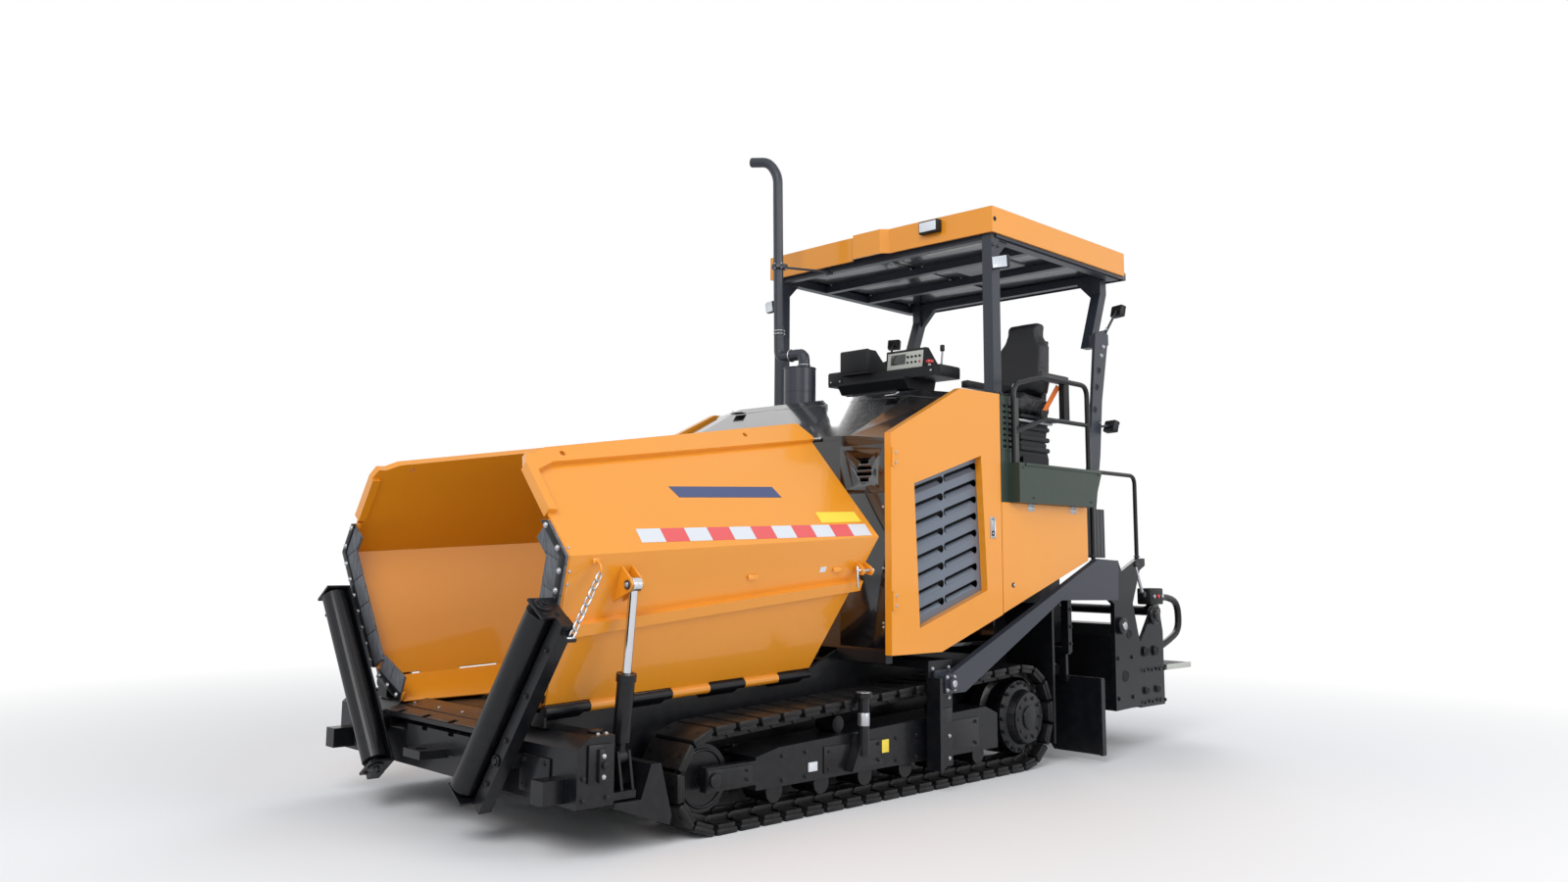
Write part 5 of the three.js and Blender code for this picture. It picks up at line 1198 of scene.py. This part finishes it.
class PAVER_OT_undercarriage_trim(Trim):
    """Add the sprocket and idler covers, the frame's panels and bolts, and its blank plates"""

    bl_idname = "paver.undercarriage_trim"
    bl_label = "Undercarriage trim"

    def build(self, sizes):
        black = "Chassis black"
        hub = Vector((0.940, 0.790, 0.288))
        parts = [bar(hub, hub + Vector((0.010, 0, 0)), 0.134, 40, 0.004),
                 bar(hub + Vector((0.008, 0, 0)), hub + Vector((0.022, 0, 0)), 0.066, 32, 0.004)]
        parts.append(bolts(around(hub + Vector((0.010, 0, 0)), 0.108, 10), (1, 0, 0), 0.010))
        parts.append(bolts(around(hub + Vector((-0.040, 0, 0)), 0.185, 16), (1, 0, 0), 0.009))
        idler = Vector((0.918, -1.545, 0.222))
        parts.append(bar(idler, idler + Vector((0.012, 0, 0)), 0.030, 24, 0.003))
        parts.append(ring(idler + Vector((-0.078, 0, 0)), (1, 0, 0), 0.118, 0.007, 48))
        frame = 0.910
        for low, high, flat in (((-0.86, 0.172), (-0.44, 0.290), 0.006), ((-0.02, 0.176), (0.36, 0.325), 0.006),
                                ((-1.58, 0.186), (-1.32, 0.264), 0.005)):
            parts.append(block((frame - 0.001, low[0], low[1]), (frame + flat, high[0], high[1]), 0.002))
            spots = [(frame + flat, y, z) for y in (low[0] + 0.03, high[0] - 0.03)
                     for z in (low[1] + 0.02, high[1] - 0.02)]
            parts.append(bolts(spots, (1, 0, 0), 0.008))
        for y in (-1.13, -0.98, -0.33, -0.17):
            parts.append(bolts([(frame, y, 0.175), (frame, y, 0.280)], (1, 0, 0), 0.009))
        parts.append(block((0.934, -0.100, 0.330), (0.957, 0.065, 0.400), 0.004))
        pair("track_frame_covers", "chassis", "black_paint", *all_dressed(parts, black))
        zinc = [bolts([(0.9505, y, z) for y in (-0.085, 0.05) for z in (0.15, 0.26, 0.45, 0.60)], (1, 0, 0),
                      0.008)]
        stand = Vector((0.962, -0.636, 0.522))
        zinc.append(bar(stand, stand + Vector((0, 0, 0.004)), 0.036, 24, 0.001))
        zinc.append(bar(stand - Vector((0, 0, 0.150)), stand - Vector((0, 0, 0.090)), 0.0285, 20, 0.002))
        pair("guide_column_bolts", "chassis", "bare_steel", *all_dressed(zinc, "Zinc"))
        plates = [dressed(block((frame + 0.0002, y - w, z - h), (frame + 0.0072, y + w, z + h), 0.0004), colour)
                  for y, z, w, h, colour in ((-0.935, 0.212, 0.028, 0.020, "Mark white"),
                                             (-0.42, 0.252, 0.026, 0.030, "Mark yellow"),
                                             (-0.045, 0.232, 0.018, 0.014, "Mark white"))]
        pair("frame_plates", "chassis", "yellow_paint", *plates)
        mud = [bolts([(x, 1.355, 0.46) for x in (0.82, 0.855)], (0, -1, 0), 0.009),
               bolts([(0.889, 1.345, z) for z in (0.66, 0.76, 0.86)], (1, 0, 0), 0.009)]
        pair("mud_plate_bolts", "chassis", "black_paint", *all_dressed(mud, black))


# ---------------------------------------------------------------- operator's station
class PAVER_OT_console(Trim):
    """Add the console's sleeve, instruments, levers and knobs"""

    bl_idname = "paver.console"
    bl_label = "Console"

    def build(self, sizes):
        parts = Parts()
        # pleated sleeve round the column
        for i in range(7):
            z = 1.90 + i * 0.038
            spread = 0.020 + 0.002 * i
            parts.add(block((-0.200 - spread, 0.650 - spread, z), (0.150 + spread, 0.890 + spread, z + 0.030),
                            0.012), "Rubber black")
        hood = block((-0.275, 0.6145, 2.300), (-0.045, 0.640, 2.445), 0.010)
        parts.add(push_face(hood, (0, -1, 0), 0.012, 0.004), "Moulded black")
        face = [(0.045, 0.697, 2.300), (0.315, 0.697, 2.300), (0.315, 0.7105, 2.405), (0.045, 0.7105, 2.405)]
        parts.add(sheet_metal(face, (0, -0.006, 0), 0.001), "Panel grey")
        screen = [(0.075, 0.6925, 2.330), (0.185, 0.6925, 2.330), (0.185, 0.7015, 2.392),
                  (0.075, 0.7015, 2.392)]
        parts.add(sheet_metal(screen, (0, -0.003, 0), 0.0005), "Gloss black")
        for x in (0.205, 0.235, 0.265, 0.295):
            for z in (2.335, 2.370):
                parts.add(bar((x, 0.7045, z), (x, 0.690, z), 0.007, 14, 0.001),
                          "Knob red" if (x, z) == (0.295, 2.335) else "Chassis black")
        # the knob and sticks on the desk
        parts.add(bar((0.365, 0.700, 2.294), (0.365, 0.700, 2.318), 0.010, 16), "Panel grey")
        parts.add(bar((0.365, 0.700, 2.314), (0.365, 0.700, 2.336), 0.022, 24, 0.005), "Knob red")
        for x, lean in ((-0.350, -0.02), (-0.310, 0.01), (0.385, 0.02)):
            foot, head = Vector((x, 0.790, 2.292)), Vector((x + lean, 0.775, 2.392))
            parts.add(bar(foot, head, 0.006, 12, 0), "Zinc")
            parts.add(bar(head, head + Vector((0, 0, 0.040)), 0.014, 18, 0.006), "Moulded black")
            parts.add(ring(foot + Vector((0, 0, 0.006)), (0, 0, 1), 0.018, 0.006, 24), "Rubber black")
        for low, high in (((-0.425, 0.665, 2.240), (-0.290, 0.935, 2.330)),
                          ((0.335, 0.730, 2.240), (0.425, 0.935, 2.312))):
            parts.add(block(low, high, 0.014), "Moulded black")
        parts.add(bolts([(x, 0.670, 2.266) for x in (-0.395, -0.32, 0.395)], (0, -1, 0), 0.006), "Zinc")
        finished("console_fittings", "chassis", "black_paint", *parts)


class PAVER_OT_seat(Trim):
    """Pad the seat's cushion and back, and add its armrests, belt and bellows"""

    bl_idname = "paver.seat"
    bl_label = "Seat"

    def build(self, sizes):
        for name, swell in (("seat_cushion", 0.016), ("seat_back", 0.018)):
            pad = self.padded(name, swell)
            pad.name = name + "_pad"
            pad.data.name = pad.name
            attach(pad, "chassis")
            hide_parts(name)
        self.trim()

    @staticmethod
    def padded(name, swell):
        pad = copy_to(NODES[name], Matrix.Identity(4))
        pad.parent = None
        pick(pad)
        bpy.ops.object.mode_set(mode="EDIT")
        bpy.ops.mesh.select_all(action="SELECT")
        bpy.ops.mesh.remove_doubles(threshold=0.00001)
        bpy.ops.object.mode_set(mode="OBJECT")
        low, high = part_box(name)
        middle = (low + high) / 2
        size = high - low
        shrink = Matrix.Diagonal([1 - 0.9 * swell / s * 2 for s in size] + [1])
        pad.data.transform(Matrix.Translation(middle) @ shrink @ Matrix.Translation(-middle))
        apply_modifier(pad, "BEVEL", width=0.030, segments=4, limit_method="ANGLE",
                       angle_limit=math.radians(40))
        apply_modifier(pad, "REMESH", mode="VOXEL", voxel_size=0.006)
        start = [vertex.co.copy() for vertex in pad.data.vertices]
        cloth = pad.modifiers.new("Cloth", "CLOTH")
        cloth.settings.use_pressure = True
        cloth.settings.uniform_pressure_force = 4.0
        cloth.settings.effector_weights.gravity = 0.0
        for step in range(1, 21):
            bpy.context.scene.frame_set(step)
        pick(pad)
        bpy.ops.object.modifier_apply(modifier=cloth.name)
        bpy.context.scene.frame_set(1)
        for vertex, was in zip(pad.data.vertices, start):
            move = vertex.co - was
            if move.length > swell:
                vertex.co = was + move.normalized() * swell
        apply_modifier(pad, "SMOOTH", iterations=3, factor=0.5)
        apply_modifier(pad, "SUBSURF", levels=1, render_levels=1)
        bpy.ops.object.shade_smooth()
        return dressed(pad, "Seat vinyl")

    @staticmethod
    def trim():
        black = "Moulded black"
        parts = Parts()
        for x in (0.610 - 0.259, 0.610 + 0.259):
            parts.add(block((x - 0.030, 1.075, 2.208), (x + 0.030, 1.385, 2.256), 0.016), "Seat vinyl")
        # straps down both sides, with the outer one's buckle
        for x, thick in ((0.842, 0.004), (0.378, -0.004)):
            strap = [(x, y, z) for y, z in ((1.150, 2.020), (1.200, 2.020), (1.365, 2.190), (1.325, 2.205))]
            parts.add(sheet_metal(strap, (thick, 0, 0), 0.001), "Belt orange")
        parts.add(block((0.838, 1.140, 1.985), (0.852, 1.210, 2.035), 0.005), black)
        # bellows under the seat
        for i in range(6):
            z = DECK_TOP + 0.300 + i * 0.032
            inset = 0.0 if i % 2 else 0.014
            parts.add(block((0.455 + inset, 1.055 + inset, z), (0.765 - inset, 1.375 - inset, z + 0.030),
                            0.011), "Rubber black")
        for x in (0.440, 0.780):
            parts.add(block((x - 0.012, 1.00, DECK_TOP + 0.500), (x + 0.012, 1.36, DECK_TOP + 0.516), 0.003),
                      "Zinc")
        finished("seat_fittings", "chassis", "seat_vinyl", *parts)


# ---------------------------------------------------------------- canopy and lamps
class PAVER_OT_canopy_trim(Trim):
    """Line the roof and add its hatch, its light, the post clamps and the rear brackets' holes"""

    bl_idname = "paver.canopy_trim"
    bl_label = "Canopy trim"

    def build(self, sizes):
        low, high = ROOF_LOW, ROOF_HIGH
        foot = low.z + 0.024
        lining = block((low.x + 0.016, low.y + 0.058, foot), (high.x - 0.016, high.y - 0.016, foot + 0.008),
                       0.001)
        parts = Parts()
        parts.add(lining, "Roof lining")
        for y in (0.700, 1.135, 1.585):
            for x in (-0.39, 0.39):
                panel = block((x - 0.36, y, foot - 0.006), (x + 0.36, y + 0.38, foot - 0.0005), 0.002)
                parts.add(push_face(panel, (0, 0, -1), 0.02, 0.003), "Roof lining")
        hatch = block((0.14, 1.16, foot - 0.020), (0.56, 1.46, foot - 0.006), 0.004)
        parts.add(push_face(hatch, (0, 0, -1), 0.03, 0.006), "Hatch grey")
        parts.add(block((0.30, 0.725, foot - 0.034), (0.72, 0.780, foot - 0.006), 0.008), "Panel grey")
        spots = [(x, y, foot - 0.006) for x in (-0.74, -0.045, 0.045, 0.74)
                 for y in (0.73, 1.06, 1.16, 1.49, 1.61, 1.94)]
        parts.add(bolts(spots, (0, 0, -1), 0.006), "Zinc")
        inset, front = 0.016, 0.665
        rim = [(low.x + inset, front), (high.x - inset, front), (high.x - inset, high.y - inset),
               (low.x + inset, high.y - inset)]
        for (x0, y0), (x1, y1) in zip(rim[1:], rim[2:] + rim[:1]):
            strip = block((min(x0, x1) - 0.002, min(y0, y1) - 0.002, low.z - 0.020),
                          (max(x0, x1) + 0.002, max(y0, y1) + 0.002, low.z + 0.026), 0.002)
            parts.add(strip, "Slate")
        finished("roof_lining", "chassis", "black_paint", *parts)
        metal = Parts()
        outer = 0.8845
        for y, z in ((1.771, 2.342), (1.741, 2.232), (1.709, 2.086), (1.630, 1.944)):
            # near-black discs for the holes in the post's bracket: painted shade
            metal.add(bar((outer - 0.001, y, z), (outer + 0.0006, y, z), 0.019, 24, 0), "Dark recess")
            metal.add(ring((outer, y, z), (1, 0, 0), 0.020, 0.003, 28), "Slate")
        metal.add(bolts([(outer, 1.83, 2.50), (outer, 1.80, 2.44), (outer, 1.600, 1.53), (outer, 1.655, 1.53)],
                        (1, 0, 0), 0.011), "Zinc")
        for y in (0.640, 0.690):
            metal.add(bolts([(0.865, y, 2.085), (0.865, y, 2.945)], (1, 0, 0), 0.010), "Slate")
        metal.add(block((0.792, 0.612, 2.0508), (0.873, 0.706, 2.064), 0.003), "Slate")
        # a near-black disc for a hole: painted shade
        metal.add(bar((0.886, 0.628, 3.091), (0.8895, 0.628, 3.091), 0.014, 20, 0), "Dark recess")
        pair("canopy_bolts", "chassis", "slate_grey_paint", *metal)


class PAVER_OT_lamps(Trim):
    """Add the work lamps with their brackets, and the lamp in the roof's front"""

    bl_idname = "paver.lamps"
    bl_label = "Lamps"

    def build(self, sizes):
        self.work_lamp("front_lamp", Vector((0.915, 0.640, 2.834)), Vector((0.25, -1, -0.15)),
                       Vector((0.866, 0.665, 2.834)))
        self.work_lamp("rear_lamp", Vector((0.918, 1.985, 2.746)), Vector((0.35, 1, -0.25)),
                       Vector((0.884, 1.870, 2.600)))
        self.work_lamp("low_rear_lamp", Vector((0.920, 1.850, 1.985)), Vector((0.35, 1, -0.35)),
                       Vector((0.880, 1.770, 1.985)))
        parts = Parts()
        parts.add(block((0.405, 0.546, 3.070), (0.545, 0.592, 3.148), 0.008), "Moulded black")
        parts.add(push_face(block((0.416, 0.5405, 3.080), (0.534, 0.547, 3.138), 0.002), (0, -1, 0), 0.006,
                            0.003), "Clear lens")
        finished("roof_lamp", "chassis", "black_paint", *parts)

    @staticmethod
    def work_lamp(name, centre, aim, foot):
        body = block((-0.048, -0.038, -0.030), (0.048, 0.038, 0.016), 0.010)
        parts = Parts()
        parts.add(push_face(body, (0, 0, -1), 0.014, -0.014), "Moulded black")
        parts.add(push_face(block((-0.042, -0.032, 0.0155), (0.042, 0.032, 0.021), 0.002), (0, 0, 1), 0.005,
                            -0.003), "Clear lens")
        for part in parts:
            part.data.transform(Matrix.Translation(centre) @ aim.to_track_quat("Z", "Y").to_matrix().to_4x4())
        parts.add(bar(foot, centre - aim.normalized() * 0.020, 0.008, 12, 0.001), "Slate")
        parts.add(bolts([foot + Vector((0.002, 0, 0.022))], (1, 0, 0), 0.007), "Zinc")
        pair(name, "chassis", "black_paint", *parts)


# ---------------------------------------------------------------- screed
class PAVER_OT_screed_trim(Trim):
    """Add the screed's bosses, bolts, strut, control box, hose fittings and footboard tread"""

    bl_idname = "paver.screed_trim"
    bl_label = "Screed trim"

    def build(self, sizes):
        black = "Chassis black"
        side = SCREED_OUT
        parts = Parts()
        parts.add(bar((side - 0.002, 2.200, 0.813), (side + 0.022, 2.200, 0.813), 0.062, 32, 0.006), black)
        parts.add(bar((side + 0.020, 2.200, 0.813), (side + 0.034, 2.200, 0.813), 0.030, 24, 0.004), black)
        parts.add(bolts(around((side + 0.022, 2.200, 0.813), 0.046, 6), (1, 0, 0), 0.006), black)
        for y, z, r in ((2.105, 0.585, 0.028), (2.235, 0.585, 0.028), (2.105, 0.345, 0.020),
                        (2.255, 0.345, 0.020)):
            # near-black discs for the holes in the side plate: painted shade
            parts.add(bar((side - 0.001, y, z), (side + 0.0008, y, z), r, 28, 0), "Dark recess")
            parts.add(ring((side, y, z), (1, 0, 0), r + 0.002, 0.003, 32), black)
        spots = [(side, y, z) for y in (2.07, 2.17, 2.27, 2.33) for z in (0.275, 0.47)]
        parts.add(bolts(spots, (1, 0, 0), 0.010), black)
        box = block((0.860, 2.215, 0.872), (0.955, 2.385, 0.975), 0.008)
        parts.add(push_face(box, (1, 0, 0), 0.012, 0.004), "Moulded black")
        for y in (2.245, 2.300, 2.355):
            parts.add(bar((0.958, y, 0.925), (0.970, y, 0.925), 0.012, 18, 0.002),
                      "Knob red" if y == 2.300 else "Zinc")
        for place, aim in (((0.880, 2.360, 0.862), (0, 1, 0.43)), ((0.880, 2.365, 0.573), (0, 1, 0.28))):
            place, aim = Vector(place), Vector(aim).normalized()
            parts.add(bar(place, place + aim * 0.052, 0.027, 6, 0.003), "Zinc")
            parts.add(ring(place + aim * 0.060, aim, 0.023, 0.004, 24), "Zinc")
        edge = block((0.080, 2.455, 0.4785), (0.918, 2.795, 0.4815), 0.001)
        parts.add(edge, "Tread plate")
        parts.add(block((0.919, 2.460, 0.450), (0.928, 2.798, 0.484), 0.002), "Panel grey")
        pair("screed_extension_trim", "screed_extension", "black_paint", *parts)
        outer = 0.965
        main = Parts()
        main.add(bar((outer - 0.002, 1.796, 0.755), (outer + 0.026, 1.796, 0.755), 0.052, 32, 0.005), black)
        main.add(bar((outer + 0.024, 1.796, 0.755), (outer + 0.036, 1.796, 0.755), 0.024, 20, 0.003), "Zinc")
        main.add(bolts([(outer, y, z) for y, z in ((1.76, 0.56), (1.93, 0.56), (1.76, 0.32), (1.93, 0.32),
                                                   (1.71, 1.10), (1.68, 0.98))], (1, 0, 0), 0.011), black)
        for y, z, r in ((1.845, 0.450, 0.034), (1.905, 0.700, 0.026)):
            # near-black discs for the holes in the side plate: painted shade
            main.add(bar((outer - 0.001, y, z), (outer + 0.0008, y, z), r, 28, 0), "Dark recess")
            main.add(ring((outer, y, z), (1, 0, 0), r + 0.002, 0.003, 32), black)
        main.add(bar((0.958, 2.010, 1.128), (0.958, 2.105, 0.940), 0.010, 16), "Zinc")
        for y, z in ((2.010, 1.128), (2.105, 0.940)):
            main.add(bar((0.945, y, z), (0.972, y, z), 0.018, 20, 0.002), black)
        for y in (1.520, 2.055):
            main.add(ring((0.9505, y, 1.176), (0, 0, 1), 0.0145, 0.005, 24), "Slate")
        pair("screed_trim", "screed", "black_paint", *main)
        tow = Parts()
        tow.add(bolts([(1.015, y, z) for y in (-0.050, 0.010) for z in (0.500, 0.560)], (1, 0, 0), 0.008),
                "Zinc")
        tow.add(bar((1.036, -0.020, 0.530), (1.042, -0.020, 0.530), 0.018, 24, 0.002), "Zinc")
        pair("tow_point_bolts", "tow_points", "slate_grey_paint", *tow)


# ---------------------------------------------------------------- stage
class PAVER_OT_stage(Trim):
    """Add the floor, the lamps, the sky and the camera"""

    bl_idname = "paver.stage"
    bl_label = "Stage"

    def build(self, sizes):
        self.camera()
        self.floor(sizes)
        self.sky()
        self.light("Key light", (4.5, -8.5, 7.5), (0.2, -0.5, 1.2), 5.0, 540)
        self.light("Side light", (9.0, 1.5, 4.5), (0.6, 0.0, 1.2), 5.0, 300)
        self.light("Rear light", (-5.0, 7.0, 6.5), (0, 0, 1.8), 5.0, 260)
        bpy.context.scene.view_settings.view_transform = "Standard"

    @staticmethod
    def camera():
        camera = bpy.data.cameras.new("Camera")
        holder = bpy.data.objects.new("Camera", camera)
        bpy.context.collection.objects.link(holder)
        yaw, pitch, roll = math.radians(46.62), math.radians(7.34), math.radians(0.738)
        forward = Vector((-math.sin(yaw) * math.cos(pitch), math.cos(yaw) * math.cos(pitch), math.sin(pitch)))
        right = forward.cross(Vector((0, 0, 1))).normalized()
        up = right.cross(forward)
        level = Matrix((right, up, -forward)).transposed()
        holder.matrix_world = Matrix.Translation(Vector((4.619, -5.010, 1.161)) + DATUM) @ (
            level @ Matrix.Rotation(roll, 3, "Z")).to_4x4()
        camera.sensor_width = 36
        camera.lens = 27.07
        camera.shift_x = 0.0375
        camera.shift_y = -0.025
        camera.clip_end = 500
        bpy.context.scene.camera = holder

    @staticmethod
    def floor(sizes):
        deselect()
        bpy.ops.mesh.primitive_grid_add(x_subdivisions=8, y_subdivisions=8, size=sizes.floor_size)
        floor = settle()
        floor.name = "Floor"
        made, tree, shader = start_material("Pale floor")
        shader.inputs["Base Color"].default_value = (0.86, 0.86, 0.87, 1)
        shader.inputs["Roughness"].default_value = 0.85
        # far from the machine the floor turns into the white of the background
        reach = node(tree, "VectorMath", {"operation": "LENGTH"}, i0=node(tree, "TexCoord").outputs["Object"])
        far = ranged(tree, reach.outputs["Value"], 3.2, 7.0)
        plain = maths(tree, "MULTIPLY", far, node(tree, "LightPath").outputs["Is Camera Ray"])
        white = node(tree, "Emission", Color=(1, 1, 1, 1), Strength=1.0)
        both = node(tree, "MixShader", i0=plain, i1=shader.outputs[0], i2=white.outputs[0])
        tree.links.new(both.outputs[0], tree.nodes["Material Output"].inputs["Surface"])
        floor.data.materials.append(made)

    @staticmethod
    def sky():
        world = bpy.data.worlds.new("Studio")
        bpy.context.scene.world = world
        world.use_nodes = True
        tree = world.node_tree
        plain = tree.nodes["Background"]
        plain.inputs["Color"].default_value = (0.93, 0.96, 1.0, 1)
        plain.inputs["Strength"].default_value = 0.55
        white = node(tree, "Background", Color=(1, 1, 1, 1), Strength=1.0)
        path = node(tree, "LightPath").outputs
        seen = maths(tree, "MAXIMUM", maths(tree, "MAXIMUM", path["Is Camera Ray"], path["Is Glossy Ray"]),
                     path["Is Transmission Ray"])
        both = node(tree, "MixShader", i0=seen, i1=plain.outputs[0], i2=white.outputs[0])
        tree.links.new(both.outputs[0], tree.nodes["World Output"].inputs["Surface"])

    @staticmethod
    def light(name, place, target, size, power):
        lamp = bpy.data.lights.new(name, "AREA")
        lamp.size = size
        lamp.energy = power
        holder = bpy.data.objects.new(name, lamp)
        bpy.context.collection.objects.link(holder)
        place = Vector(place)
        holder.matrix_world = Matrix.Translation(place) @ (
            (Vector(target) - place).to_track_quat("-Z", "Y").to_matrix().to_4x4())


# ---------------------------------------------------------------- add-on
class PaverSizes(bpy.types.PropertyGroup):
    """Sizes of the trim"""

    flap_gap: FloatProperty(name="Flap gap", description="Gap between two rubber plates", default=0.003,
                            unit="LENGTH")
    tape_height: FloatProperty(name="Tape height", description="Height of the reflecting tape", default=0.055,
                               unit="LENGTH")
    chain_wire: FloatProperty(name="Chain wire", description="Thickness of the hold-up chain's wire",
                              default=0.009, unit="LENGTH")
    shoe_share: FloatProperty(name="Shoe share", description="Share of the track's pitch that a shoe takes",
                              default=0.86, min=0.5, max=0.95)
    floor_size: FloatProperty(name="Floor size", description="Side of the studio floor", default=60.0,
                              unit="LENGTH")


class PaverColours(bpy.types.PropertyGroup):
    """Colours of the paints"""

    body_yellow: FloatVectorProperty(name="Body yellow", description="Paint of the hopper, doors and roof",
                                     default=(0.80, 0.295, 0.012), subtype="COLOR")
    undercarriage_black: FloatVectorProperty(name="Undercarriage black",
                                             description="Paint of frames and screed",
                                             default=(0.0045, 0.005, 0.007), subtype="COLOR")
    post_slate: FloatVectorProperty(name="Post slate", description="Paint of the canopy posts and tow arms",
                                    default=(0.028, 0.033, 0.046), subtype="COLOR")
    side_box_green: FloatVectorProperty(name="Side box green", description="Paint of the boxes beside the deck",
                                        default=(0.019, 0.034, 0.025), subtype="COLOR")


class PAVER_OT_finishes(bpy.types.Operator):
    """Build the shader groups and every finish"""

    bl_idname = "paver.finishes"
    bl_label = "Finishes"
    bl_options = {"REGISTER", "UNDO"}

    def execute(self, context):
        for build_group in (paint_surface_group, broken_edges_group, grain_group, hide_group, webbing_group,
                            tread_group):
            build_group()
        make_finishes(context.scene.paver_colours)
        return {"FINISHED"}


OPERATORS = (
    PAVER_OT_finishes, PAVER_OT_stage, PAVER_OT_cad_finishes,
    PAVER_OT_wing_flaps, PAVER_OT_hopper_liner, PAVER_OT_wing_marks, PAVER_OT_wing_fittings,
    PAVER_OT_bumper_fittings, PAVER_OT_engine_bay_trim, PAVER_OT_louvres, PAVER_OT_door_trim,
    PAVER_OT_tracks, PAVER_OT_undercarriage_trim, PAVER_OT_console, PAVER_OT_seat, PAVER_OT_canopy_trim,
    PAVER_OT_lamps, PAVER_OT_screed_trim,
)


class PAVER_PT_trim(bpy.types.Panel):
    """The paver's sizes, colours and operators"""

    bl_idname = "PAVER_PT_trim"
    bl_label = "Paver"
    bl_space_type = "VIEW_3D"
    bl_region_type = "UI"
    bl_category = "Paver"

    def draw(self, context):
        for group in (context.scene.paver_sizes, context.scene.paver_colours):
            for name in group.__annotations__:
                self.layout.prop(group, name)
        for operator in OPERATORS:
            self.layout.operator(operator.bl_idname)


CLASSES = (PaverSizes, PaverColours, *OPERATORS, PAVER_PT_trim)


def register():
    for made in CLASSES:
        bpy.utils.register_class(made)
    bpy.types.Scene.paver_sizes = PointerProperty(type=PaverSizes)
    bpy.types.Scene.paver_colours = PointerProperty(type=PaverColours)


def unregister():
    del bpy.types.Scene.paver_colours
    del bpy.types.Scene.paver_sizes
    for made in reversed(CLASSES):
        bpy.utils.unregister_class(made)


def main():
    register()
    for operator in OPERATORS:
        group, name = operator.bl_idname.split(".")
        getattr(getattr(bpy.ops, group), name)()
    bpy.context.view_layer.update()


if __name__ == "__main__":
    main()
